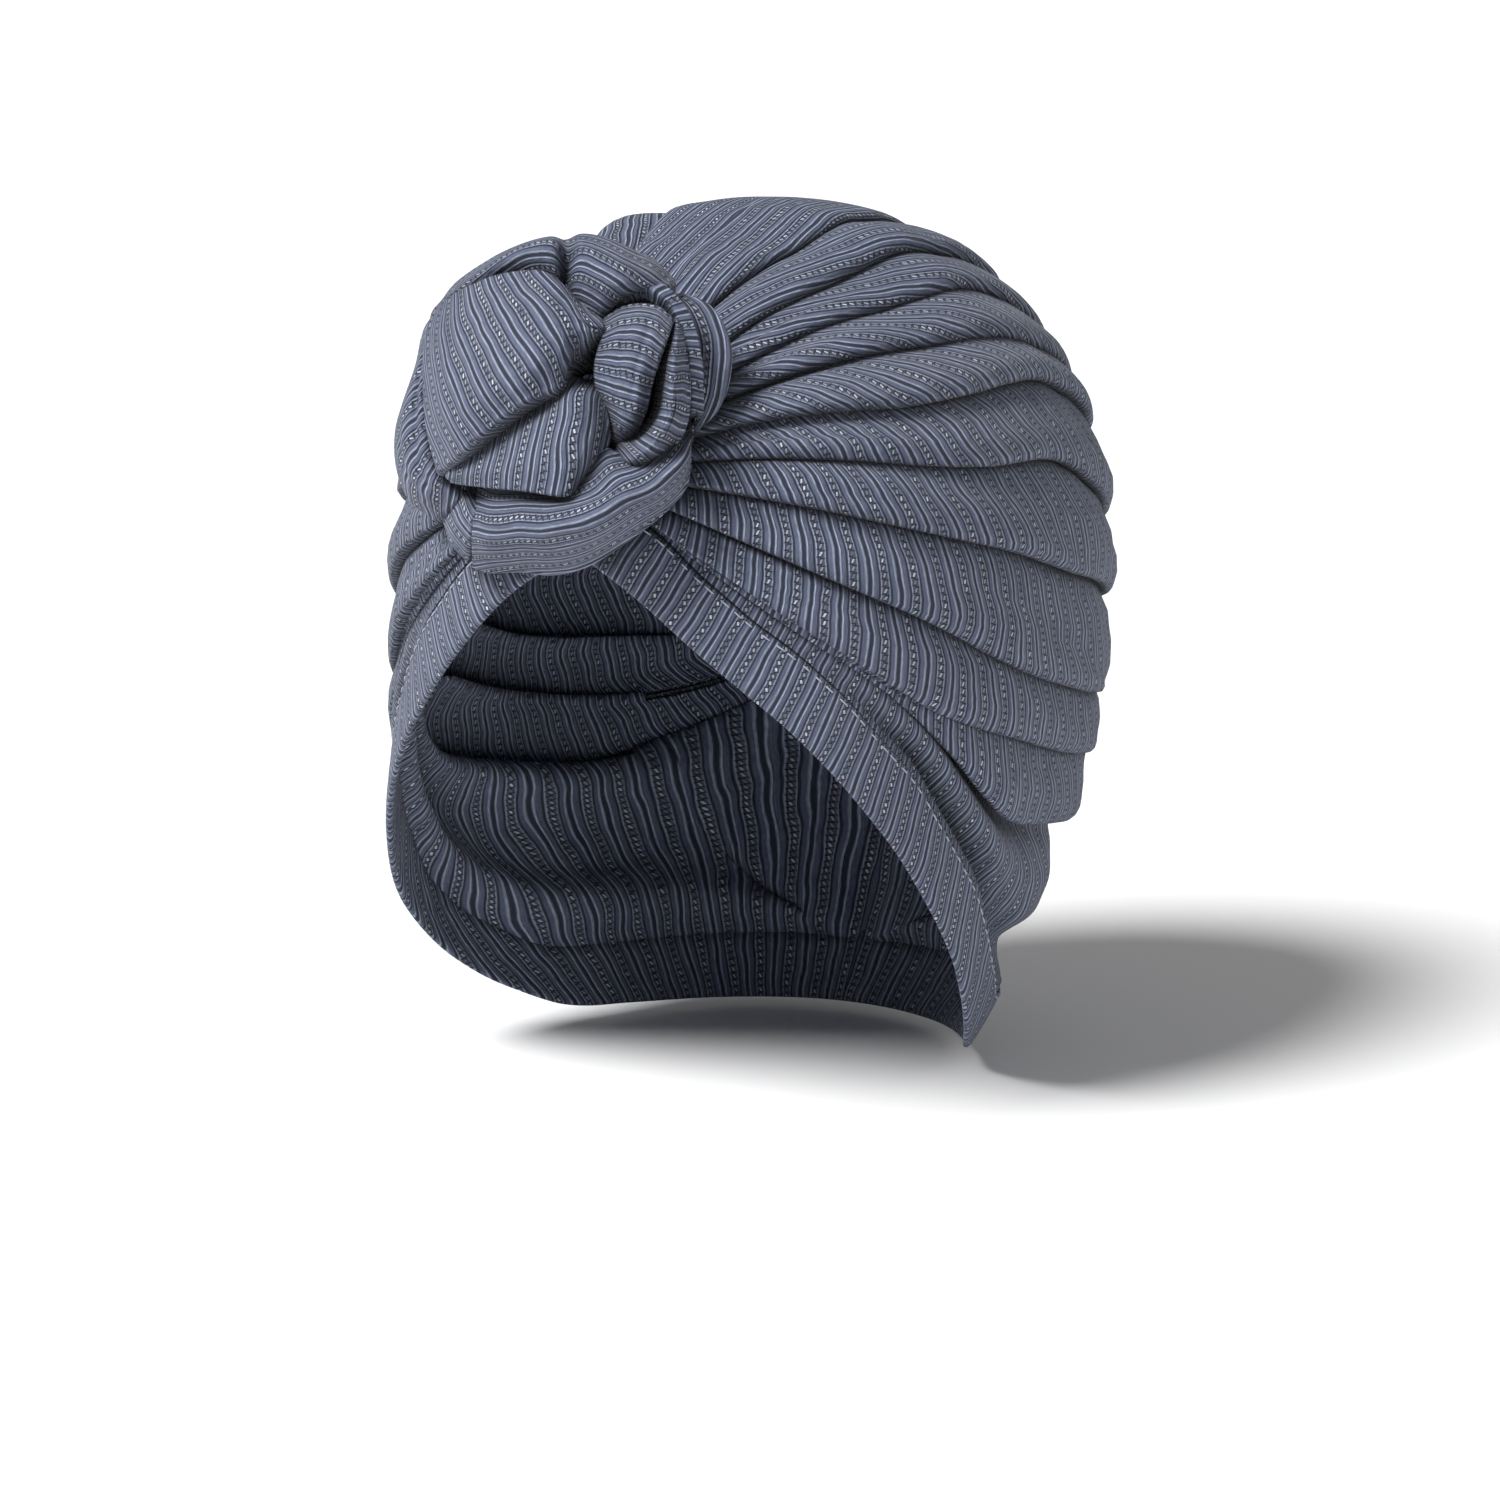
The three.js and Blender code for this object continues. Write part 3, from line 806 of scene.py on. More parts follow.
    def rib_tones(self) -> Stops:
        """Tones across one repeat: painted shade darkens the grooves and a painted highlight makes
        the ridges paler.
        """
        return (
            (0.0, self.groove_shade_and_grain), (0.045, self.groove_shade_and_grain), (0.08, self.ridge_highlight),
            (0.13, self.ridge_highlight), (0.17, self.rib), (0.26, self.rib), (0.29, self.groove_shade_and_grain),
            (0.32, self.groove_shade_and_grain), (0.36, self.ridge_highlight), (0.41, self.rib), (0.59, self.rib),
            (0.64, self.ridge_highlight), (0.68, self.groove_shade_and_grain), (0.71, self.groove_shade_and_grain), (0.74, self.rib),
            (0.83, self.rib), (0.87, self.ridge_highlight), (0.92, self.ridge_highlight),
            (0.955, self.groove_shade_and_grain), (1.0, self.groove_shade_and_grain),
        )


@dataclass(frozen=True)
class Thread:
    """Pale grey polyester sewing thread, which gives a slight shine."""

    name: str = "polyester_thread"
    colour: str = "A0A7B6"
    roughness: float = 0.5

    def build(self) -> bpy.types.Material:
        """Makes the material.

        Returns:
            The material.
        """
        material = bpy.data.materials.new(self.name)
        material.use_nodes = True
        shader = material.node_tree.nodes["Principled BSDF"]
        shader.inputs["Base Color"].default_value = linear(self.colour)
        shader.inputs["Roughness"].default_value = self.roughness
        return material


@dataclass(frozen=True)
class Fullness:
    """Where the cloth stands off the inner form a little, low on its right side as worn."""

    form: InnerForm
    # Height over the middle of the cap and how far the cloth stands off, in millimetres.
    stand_off: Rows = (
        (-140, 2), (-125, 4), (-108, 10), (-85, 13), (-62, 8.5), (-40, 3.5), (-20, -0.5),
        (0, -2.2), (20, -2.5), (40, -1), (60, 0),
    )
    sideways: Span = (-60 * MM, -20 * MM)
    backwards: Span = (-20 * MM, 35 * MM)

    def moved(self, points: np.ndarray) -> np.ndarray:
        """Moves points of the cloth out.

        Args:
            points: Places over the centre of the inner form.

        Returns:
            Their new places.
        """
        low = table_value(self.stand_off, 1, points[..., 2] / MM)
        side = 1 - smooth_step(*self.sideways, points[..., 0])
        side = side * (1 - smooth_step(*self.backwards, points[..., 1]))
        return points + self.form.normal(points) * (MM * low * side)[..., None]


@dataclass(frozen=True)
class RimStripes:
    """The stripes of the cloth at the rim, which stand on it and lean as they go round."""

    rim: Rim
    # Angle round the cap, and lean of the stripes near the rim, both in degrees.
    lean: Rows = ((0, 34), (30, 30), (55, 14), (72, -4), (90, -14), (115, -12), (180, 0))
    # The stripes are wider apart at the side of the cap, between these angles in radians.
    widened: float = 0.14
    widening: Span = (0.9, 1.4)
    narrowing: Span = (1.8, 2.3)
    stretch: float = 1.15
    steps: int = 720

    def run(self, points: np.ndarray) -> np.ndarray:
        """Flat coordinates of the cloth.

        Args:
            points: Places over the centre of the inner form.

        Returns:
            Distances across and along the stripes.
        """
        fine = np.linspace(0, math.pi, self.steps + 1)
        lean = np.radians(table_value(self.lean, 1, np.degrees(fine)))
        height = self.rim.height(fine, 0.0)
        reach = np.linalg.norm(self.rim.form.at_angle(fine, height)[:, :2], axis=-1)
        turning = np.gradient(np.sin(lean), fine)
        packed = 1 - self.widened * window(self.widening, self.narrowing, fine)
        rate = reach * np.cos(lean) * packed + height * turning
        steps = (rate[1:] + rate[:-1]) / 2 * np.diff(fine)
        around = np.concatenate(((0.0,), np.cumsum(steps)))
        angle = np.abs(np.arctan2(points[..., 0], -points[..., 1]))
        across = np.interp(angle, fine, around)
        across = across - points[..., 2] * np.sin(np.interp(angle, fine, lean))
        return np.stack((across, points[..., 2] * self.stretch), axis=-1)


@dataclass(frozen=True)
class Ripple:
    """Small uneven waves of the cloth."""

    size: float
    way_beat: float
    roll_beat: float
    seed: float

    def lift(self, way: np.ndarray, roll: np.ndarray) -> np.ndarray:
        """Lift of the cloth at ways and rolls."""
        return self.size * wave(way * self.way_beat + roll * self.roll_beat, self.seed)


@dataclass(frozen=True)
class Dent:
    """A shallow, soft-edged hollow of the crown, where the real one lies flatter."""

    depth: float
    # From no depth to the whole one, in degrees of roll.
    rolls: Span
    # Where it starts and where it ends, as shares of the way to the back.
    starts: Span
    ends: Span

    def lift(self, way: np.ndarray, roll: np.ndarray) -> np.ndarray:
        """Lift of the cloth at ways and rolls, below zero."""
        share = smooth_step(math.radians(self.rolls[0]), math.radians(self.rolls[1]), roll)
        return -self.depth * share * window(self.starts, self.ends, way)


@dataclass(frozen=True)
class Crown:
    """The pleated cloth of the cap, from the middle of the crown down to the hem.

    Ways are shares of the way from the knot to the middle of the back. Rolls are a quarter turn
    on the middle of the top and fall towards the hem.
    """

    form: InnerForm
    rim: Rim
    lines: PleatLines
    fullness: Fullness
    stripes: RimStripes
    wall: float = 1.4 * MM
    rise: float = 5 * MM
    lip: float = 2.4 * MM
    shoulder_rise: float = 5.4 * MM
    hem_rows: int = 108
    back_rows: int = 24
    shoulder_columns: int = 40
    # Least roll between a pleat's edge and the hem, and how much of it a lip may cover.
    clearance: float = math.radians(4.4)
    lip_share: float = 0.62
    # Lower edge in degrees of roll, share of the rise, lean of its stripes in degrees, and how
    # far the edge drifts by the side of the cap, in degrees of roll.
    pleats: Rows = (
        (76, 0.75, 0, 0), (62, 0.95, 10, 0), (51, 0.9, 16, 1), (39.5, 1, 28, 3),
        (26, 1.05, 44, 8), (13.5, 1, 56, 5), (0, 1.05, 64, 1.5), (-15, 1, 68, -2.5),
        (-27.5, 0.8, 70, -0.5), (-29, 0.85, 72, -8.5),
    )
    # Way, share of the rise, and share of the lip.
    way_rise: Rows = (
        (0, 0, 0.8), (0.1, 0.75, 1.2), (0.3, 1.1, 1.25), (0.5, 1.2, 0.9), (0.65, 1.25, 0.6),
        (0.8, 0.8, 0.2), (0.92, 0.2, 0), (1, 0, 0),
    )
    # Share of the breadth from a pleat's upper edge to its lower one, height and overhang,
    # crisp near the knot.
    crisp: Rows = (
        (0, -0.52, 0), (0.05, -0.18, 0), (0.13, 0.16, 0), (0.27, 0.38, 0), (0.43, 0.58, 0),
        (0.59, 0.75, 0), (0.74, 0.89, 0), (0.86, 0.98, 0), (0.94, 1, 0.3), (0.985, 0.93, 0.8),
        (1, 0.72, 1.2), (1, 0.4, 1.3), (1, 0, 0.9), (0.995, -0.45, 0.1),
    )
    # The same, soft towards the back.
    soft: Rows = (
        (0, 0, 0), (0.06, 0.16, 0), (0.15, 0.38, 0), (0.27, 0.6, 0), (0.4, 0.8, 0),
        (0.52, 0.92, 0), (0.64, 0.98, 0), (0.75, 1, 0), (0.84, 0.97, 0.1), (0.91, 0.86, 0.4),
        (0.95, 0.66, 0.6), (0.975, 0.42, 0.6), (0.99, 0.2, 0.4), (0.998, 0.04, 0.1),
    )
    softening: Span = (0.48, 0.9)
    # Way, and depth of the creases as a share of the rise.
    crease_way: Rows = ((0, 1), (0.3, 0.95), (0.5, 0.8), (0.65, 0.6), (0.85, 0.5), (1, 0.5))
    # Share of the way down from the last pleat to the hem, and share of the shoulder's rise.
    shoulder: Rows = (
        (0, -0.2), (0.07, -0.8), (0.14, -0.85), (0.24, -0.3), (0.36, 0.3), (0.48, 0.5),
        (0.6, 0.25), (0.7, -0.4), (0.79, -0.95), (0.88, -0.8), (0.95, -0.35), (1, -0.1),
    )
    shoulder_way: Rows = (
        (0, 0), (0.24, 0.1), (0.38, 0.75), (0.54, 1), (0.68, 0.7), (0.85, 0.2), (1, 0),
    )
    shoulder_blend: Span = (0.1, 0.9)
    # How unevenly the pleats' edges and heights run, and the ways over which they start to.
    drifting: Span = (0.24, 0.5)
    wander: float = math.radians(1.1)
    wander_beat: float = 9
    wandering: Span = (0.12, 0.4)
    swell: float = 0.12
    swell_beat: float = 7
    # A pleat narrower than this is lower, down to the least share of its height.
    full_breadth: float = math.radians(5)
    least_height: float = 0.1
    # Share of the top pleat that has no crease above it.
    top_share: float = 0.9
    # Fine waves of the cloth, gathers near the knot, folded creases, and flatter places.
    ripple: Ripple = Ripple(0.35 * MM, 34, 5, 1.0)
    gather: Ripple = Ripple(0.9 * MM, 0, 41, 2.0)
    gathered_until: Span = (0.16, 0.34)
    creased: Ripple = Ripple(0.75 * MM, 9, 24, 3.0)
    creased_from: Span = (0.3, 0.5)
    creased_until: Span = (0.8, 0.95)
    creased_below: float = 0.4
    dents: tuple[Dent, ...] = (
        Dent(0.7 * MM, (25, 50), (0.48, 0.58), (0.66, 0.82)),
        Dent(4.6 * MM, (25, 50), (0.03, 0.13), (0.3, 0.42)),
        Dent(3 * MM, (-24, -42), (0.4, 0.55), (0.75, 0.9)),
    )
    # Ways and rolls over the hem where the cloth is free to ripple, and where that ends.
    free_way: Span = (0.06, 0.14)
    free_roll: Span = (0, 0.12)
    smooth_end: Span = (0.9, 1)
    # Stripes on the pleats: stretch, bends and the distances along a pleat where they set in,
    # and how far each pleat's flat coordinates lie from the last one's.
    stretch: float = 0.12
    stretch_start: float = 60 * MM
    stretching: Span = (50 * MM, 110 * MM)
    bend: float = 1.8 * MM
    bend_across: float = 6 * MM
    bend_along: float = 30 * MM
    bending: Span = (50 * MM, 120 * MM)
    pleat_shift: Span = (13 * MM, 4.1 * MM)

    def places(self) -> tuple[np.ndarray, np.ndarray]:
        """Cross rows of the crown, along the hem and then up the back.

        Returns:
            The way and the lowest roll of each row.
        """
        angle = np.linspace(0, math.pi, self.hem_rows)
        edge = self.form.at_angle(angle, self.rim.height(angle, self.rim.seam))
        way, roll = self.lines.place(edge)
        roll[-1] = -math.pi / 2
        way[0], roll[0] = 0.0, roll[1]
        back = np.linspace(way[-1], 1, self.back_rows + 1)[1:]
        down = np.full(len(back), -math.pi / 2)
        return np.concatenate((way, back)), np.concatenate((roll, down))

    def profile(self, way: np.ndarray) -> np.ndarray:
        """Cross profile of a pleat.

        Args:
            way: The way of each row.

        Returns:
            Share of the breadth, height and overhang, rows by points of the profile by 3.
        """
        softness = smooth_step(*self.softening, way)[:, None, None]
        crisp, soft = np.array(self.crisp), np.array(self.soft)
        return crisp * (1 - softness) + soft * softness

    def edge(self, index: int, way: np.ndarray) -> np.ndarray:
        """Roll of a pleat's lower edge.

        Args:
            index: The pleat, counted from the top.
            way: The way of each row.

        Returns:
            One roll for each row.
        """
        lowest, _, _, drift = self.pleats[index]
        lowest = lowest + drift * smooth_step(*self.drifting, way)
        uneven = wave(way * self.wander_beat, index + 1) * smooth_step(*self.wandering, way)
        return np.radians(lowest) + self.wander * uneven

    def height(self, index: int, way: np.ndarray, breadth: np.ndarray) -> np.ndarray:
        """Height of a pleat.

        Args:
            index: The pleat, counted from the top.
            way: The way of each row.
            breadth: The pleat's breadth in each row, in radians of roll.

        Returns:
            One height for each row.
        """
        rise = self.rise * table_value(self.way_rise, 1, way)
        height = rise * self.pleats[index][1]
        height = height * (1 + self.swell * wave(way * self.swell_beat, index * 2.6))
        return height * np.clip(breadth / self.full_breadth, self.least_height, 1)

    def columns(
        self, way: np.ndarray, hem_roll: np.ndarray
    ) -> tuple[np.ndarray, np.ndarray, np.ndarray]:
        """The pleats and the shoulder below them, from the middle of the top down.

        Args:
            way: The way of each row.
            hem_roll: The lowest roll of each row.

        Returns:
            Roll and height of each point, rows by columns, and the pleat of each column. The
            shoulder is counted as one more pleat.
        """
        lip = self.lip * table_value(self.way_rise, 2, way)
        reach = np.maximum(self.form.half_width * np.sin(way * math.pi), self.lip)
        profile = self.profile(way)
        crease = table_value(self.crease_way, 1, way)[:, None]
        over = np.minimum(
            lip[:, None] * profile[..., 2] / reach[:, None], self.clearance * self.lip_share)
        above = np.full(len(way), math.pi / 2)
        rolls, heights, parts = [], [], []
        for index in range(len(self.pleats)):
            edge = np.maximum(self.edge(index, way), hem_roll + self.clearance)
            up = profile[..., 1]
            if index == 0:
                up = np.where(profile[..., 0] < self.top_share, 1.0, up)
            up = 1 - crease * (1 - up)
            rolls.append(above[:, None] + (edge - above)[:, None] * profile[..., 0] - over)
            heights.append(self.height(index, way, above - edge)[:, None] * up)
            parts.append(np.full(profile.shape[1], index))
            above = edge
        down = np.linspace(0, 1, self.shoulder_columns)
        rise = self.rise * table_value(self.way_rise, 1, way)
        shoulder = self.shoulder_rise * table_value(self.shoulder_way, 1, way)
        lift = (rise * (1 - crease[:, 0]))[:, None] * (1 - smooth_step(*self.shoulder_blend, down))
        rolls.append(above[:, None] + (hem_roll - above)[:, None] * down)
        heights.append(lift + shoulder[:, None] * table_value(self.shoulder, 1, down))
        parts.append(np.full(len(down), len(self.pleats)))
        return (
            np.concatenate(rolls, axis=1), np.concatenate(heights, axis=1),
            np.concatenate(parts),
        )

    def uneven(self, way: np.ndarray, roll: np.ndarray, hem_roll: np.ndarray) -> np.ndarray:
        """Small lifts of the cloth: ripples, gathers, creases and flatter places.

        Args:
            way: The way of each row, as a column.
            roll: Roll of each point.
            hem_roll: The lowest roll of each row, as a column.

        Returns:
            One lift for each point.
        """
        free = smooth_step(*self.free_way, way) * smooth_step(*self.free_roll, roll - hem_roll)
        fine = self.ripple.lift(way, roll)
        fine = fine + self.gather.lift(way, roll) * (1 - smooth_step(*self.gathered_until, way))
        creased = self.creased.lift(way, roll) * window(
            self.creased_from, self.creased_until, way)
        settled = creased * (roll < self.creased_below)
        for dent in self.dents:
            settled = settled + dent.lift(way, roll)
        return (fine * (1 - smooth_step(*self.smooth_end, way)) + settled) * free

    def half(self) -> tuple[np.ndarray, np.ndarray]:
        """One half, from the middle of the top down to the hem.

        Returns:
            Points over the centre of the inner form, and their flat coordinates.
        """
        way, hem_roll = self.places()
        roll, height, part = self.columns(way, hem_roll)
        height = height + self.uneven(way[:, None], roll, hem_roll[:, None])
        base = self.lines.point(np.broadcast_to(way[:, None], roll.shape), roll)
        points = base + self.form.normal(base) * height[..., None]
        return points, self.flat(points, base, part)

    def flat(self, points: np.ndarray, base: np.ndarray, part: np.ndarray) -> np.ndarray:
        """Flat coordinates in metres: across the stripes, then along them.

        Args:
            points: Points of one half.
            base: The same points on the inner form.
            part: Which pleat each column belongs to; the last one is the shoulder.

        Returns:
            Two numbers for each point.
        """
        run = np.zeros(points.shape[:2] + (2,))
        for index, (_, _, lean, _) in enumerate(self.pleats):
            columns = np.flatnonzero(part == index)
            middle = len(columns) // 2 if index else 0
            along = run_along(base[:, columns[middle]])[:, None]
            across = run_along(points[:, columns].transpose(1, 0, 2)).T
            across = across - across[:, middle:middle + 1]
            bend = wave(across / self.bend_across + along / self.bend_along, index * 1.9)
            beyond = np.maximum(along - self.stretch_start, 0)
            stretched = self.stretch * beyond * smooth_step(*self.stretching, along)
            bent = self.bend * bend * smooth_step(*self.bending, along)
            turned = turned_run(along - stretched + bent, across, math.radians(lean))
            run[:, columns] = turned + np.array(self.pleat_shift) * index
        columns = np.flatnonzero(part == len(self.pleats))
        run[:, columns] = self.stripes.run(points[:, columns])
        return run

    def build(self) -> bpy.types.Object:
        """Makes the whole crown: both halves, closed at the knot and at the back.

        Returns:
            The sheet.
        """
        points, run = self.half()
        other_points, other_run = points[:, ::-1].copy(), run[:, ::-1].copy()
        other_points[..., 0] *= -1
        other_points = self.fullness.moved(other_points)
        whole = np.concatenate((other_points, points), axis=1)
        whole_run = np.concatenate((other_run, run), axis=1)
        piece = cloth_piece("crown_cloth", whole + self.form.drop, whole_run)
        edit_whole(piece, bpy.ops.mesh.remove_doubles, threshold=CLOSE)
        face_outward(piece)
        return piece


@dataclass(frozen=True)
class Hem:
    """The turned-up edge of the cloth with its row of stitches."""

    form: InnerForm
    rim: Rim
    fullness: Fullness
    stripes: RimStripes
    wall: float = 0.9 * MM
    # How far the outer and inner sides lie over the inner form.
    proud: float = 0.4 * MM
    inner: float = -1.7 * MM
    rows: int = 340
    # Share of the hem's width above the edge, and share of the way from inner to outer side.
    section: Rows = (
        (1.0, 0.62), (0.97, 0.9), (0.9, 1), (0.75, 1.02), (0.5, 1.05), (0.25, 1.05), (0.1, 1),
        (0.03, 0.86), (0.0, 0.6), (0.0, 0.4), (0.03, 0.14), (0.1, 0), (0.4, 0), (0.8, 0),
        (1.12, 0),
    )
    # Stitches: size, place under the hem's upper edge and over its outer side, and how much
    # their places and lengths vary as shares of the pitch and the length.
    stitch_length: float = 2.7 * MM
    stitch_pitch: float = 4.4 * MM
    stitch_radius: float = 0.22 * MM
    stitch_drop: float = 1.1 * MM
    stitch_lift: float = 0.12 * MM
    uneven_place: float = 0.12
    uneven_length: float = 0.15
    # How far a stitch's ends sink into the cloth, in radii.
    sink: float = 1.1
    path_points: int = 2400
    sides: int = 6
    # Share of the stitch's length, and share of its radius.
    rings: Rows = ((0.0, 0.25), (0.14, 0.9), (0.5, 1.0), (0.86, 0.9), (1.0, 0.25))

    def line(self, above: np.ndarray, lift: np.ndarray, rows: int) -> np.ndarray:
        """Lines along the whole rim, once round from the middle of the back.

        Args:
            above: Distance of each line up from the rim's edge, along the cloth.
            lift: Its distance over the inner form.
            rows: How many points each line has.

        Returns:
            Places over the centre of the inner form, rows by lines by 3.
        """
        angle = np.linspace(-math.pi, math.pi, rows)[:, None]
        height = self.rim.height(np.abs(angle), above)
        base = self.form.at_angle(angle, height)
        return base + self.form.normal(base) * lift[..., None]

    def length(self) -> float:
        """Length of the rim, which is the length that the strip was cut to."""
        none = np.zeros((self.rows, 1))
        return float(run_along(self.line(none, none, self.rows))[-1, 0])

    def build(self) -> bpy.types.Object:
        """Makes the band of cloth, folded at the rim.

        Returns:
            The sheet.
        """
        section = np.array(self.section)
        above = section[None, :, 0] * self.rim.hem_width
        lift = self.inner + (self.proud - self.inner) * section[None, :, 1]
        points = self.line(above, np.repeat(lift, self.rows, axis=0), self.rows)
        run = self.stripes.run(points)
        piece = cloth_piece("hem_cloth", self.fullness.moved(points) + self.form.drop, run)
        edit_whole(piece, bpy.ops.mesh.remove_doubles, threshold=CLOSE)
        return piece

    def stitches(self) -> bpy.types.Object:
        """Makes the row of stitches just under the seam, on both sides of the peak.

        Returns:
            All stitches as one piece.
        """
        above = np.full((self.path_points, 1), self.rim.hem_width - self.stitch_drop)
        lift = np.full((self.path_points, 1), self.proud + self.stitch_lift)
        path = self.fullness.moved(self.line(above, lift, self.path_points)[:, 0])
        out = self.form.normal(path)
        run = run_along(path[:, None])[:, 0]

        def read(values: np.ndarray, place: float) -> np.ndarray:
            """Value at a distance along the path."""
            return np.array([np.interp(place, run, values[:, axis]) for axis in range(3)])

        vertices, faces = [], []
        for number in range(int(run[-1] / self.stitch_pitch)):
            start = number + 0.5 + self.uneven_place * math.sin(number * 2.1)
            length = self.stitch_length * (1 + self.uneven_length * math.sin(number * 1.3))
            first = len(vertices)
            for share, swell in self.rings:
                place = start * self.stitch_pitch + share * length
                at, normal = read(path, place), unit(read(out, place))
                side = unit(np.cross(normal, read(path, place + self.stitch_radius) - at))
                at = at - normal * self.stitch_radius * self.sink * abs(2 * share - 1) ** 3
                for turn in range(self.sides):
                    angle = 2 * math.pi * turn / self.sides
                    reach = side * math.cos(angle) + normal * math.sin(angle)
                    vertices.append(at + reach * self.stitch_radius * swell)
            faces.extend(self.skin(first))
        mesh = bpy.data.meshes.new("hem_stitches")
        mesh.from_pydata((np.array(vertices) + self.form.drop).tolist(), [], faces)
        piece = bpy.data.objects.new("hem_stitches", mesh)
        bpy.context.collection.objects.link(piece)
        pick(piece)
        bpy.ops.object.shade_smooth()
        return piece

    def skin(self, first: int) -> list[tuple[int, ...]]:
        """Faces of one stitch.

        Args:
            first: Number of its first vertex.

        Returns:
            Its sides and both ends.
        """
        faces = []
        for ring in range(len(self.rings) - 1):
            one, two = first + ring * self.sides, first + (ring + 1) * self.sides
            for turn in range(self.sides):
                following = (turn + 1) % self.sides
                faces.append((one + turn, one + following, two + following, two + turn))
        faces.append(tuple(first + turn for turn in reversed(range(self.sides))))
        last = first + (len(self.rings) - 1) * self.sides
        faces.append(tuple(last + turn for turn in range(self.sides)))
        return faces


@dataclass(frozen=True)
class View:
    """The picture's angle, measured from the middle of the cap."""

    azimuth: float = math.radians(25.5)
    elevation: float = math.radians(11.0)
    pixels_per_metre: float = 3810.0
    # Width and height of the picture, and where the middle of the cap shows in it.
    picture: float = 1500.0
    middle_pixel: Span = (747.0, 582.0)
    distance: float = 1.4

    @property
    def focal_pixels(self) -> float:
        """Distance from the eye to the picture, in its pixels."""
        return self.pixels_per_metre * self.distance

    def axes(self) -> tuple[np.ndarray, np.ndarray, np.ndarray]:
        """Directions of the picture.

        Returns:
            Back to the camera, right and up.
        """
        back = np.array((
            math.sin(self.azimuth) * math.cos(self.elevation),
            -math.cos(self.azimuth) * math.cos(self.elevation),
            math.sin(self.elevation),
        ))
        right = np.array((math.cos(self.azimuth), math.sin(self.azimuth), 0))
        return back, right, np.cross(back, right)

    def eye(self) -> np.ndarray:
        """Where the picture is taken from.

        Returns:
            The place over the centre of the inner form.
        """
        back, right, up = self.axes()
        across = (self.picture / 2 - self.middle_pixel[0]) / self.pixels_per_metre
        above = (self.middle_pixel[1] - self.picture / 2) / self.pixels_per_metre
        return back * self.distance + right * across + up * above

    def rays(self, pixels: np.ndarray) -> np.ndarray:
        """Directions from the eye through pixels.

        Args:
            pixels: Pixels across and down in the picture.

        Returns:
            One direction for each pixel, not at length one.
        """
        back, right, up = self.axes()
        across, down = pixels[..., :1] - self.picture / 2, pixels[..., 1:] - self.picture / 2
        return across * right - down * up - self.focal_pixels * back


@dataclass(frozen=True)
class Crease:
    """A soft furrow in a layer of the knot."""

    # Both ends, across and along, as shares of the layer.
    start_across: float
    start_along: float
    end_across: float
    end_along: float
    # Depth in millimetres, and half width as a share of the layer.
    depth: float
    half_width: float
    # Depth at the ends as a share, and how soon it grows from there.
    end_share: float = 0.35
    growth: float = 0.6
    ends: Span = (0.02, 0.98)

    def sunk(self, across: np.ndarray, along: np.ndarray) -> np.ndarray:
        """How deep the layer is sunk.

        Args:
            across: Shares of the layer across.
            along: Shares of the layer along.

        Returns:
            One depth for each pair, in millimetres.
        """
        run = np.array((self.end_across - self.start_across, self.end_along - self.start_along))
        across, along = across - self.start_across, along - self.start_along
        at = np.clip((across * run[0] + along * run[1]) / (run @ run), 0, 1)
        gap = np.hypot(across - at * run[0], along - at * run[1])
        grown = np.sin(np.clip(at, *self.ends) * math.pi) ** self.growth
        fade = self.end_share + (1 - self.end_share) * grown
        return self.depth * fade * np.exp(-(gap / self.half_width) ** 2)


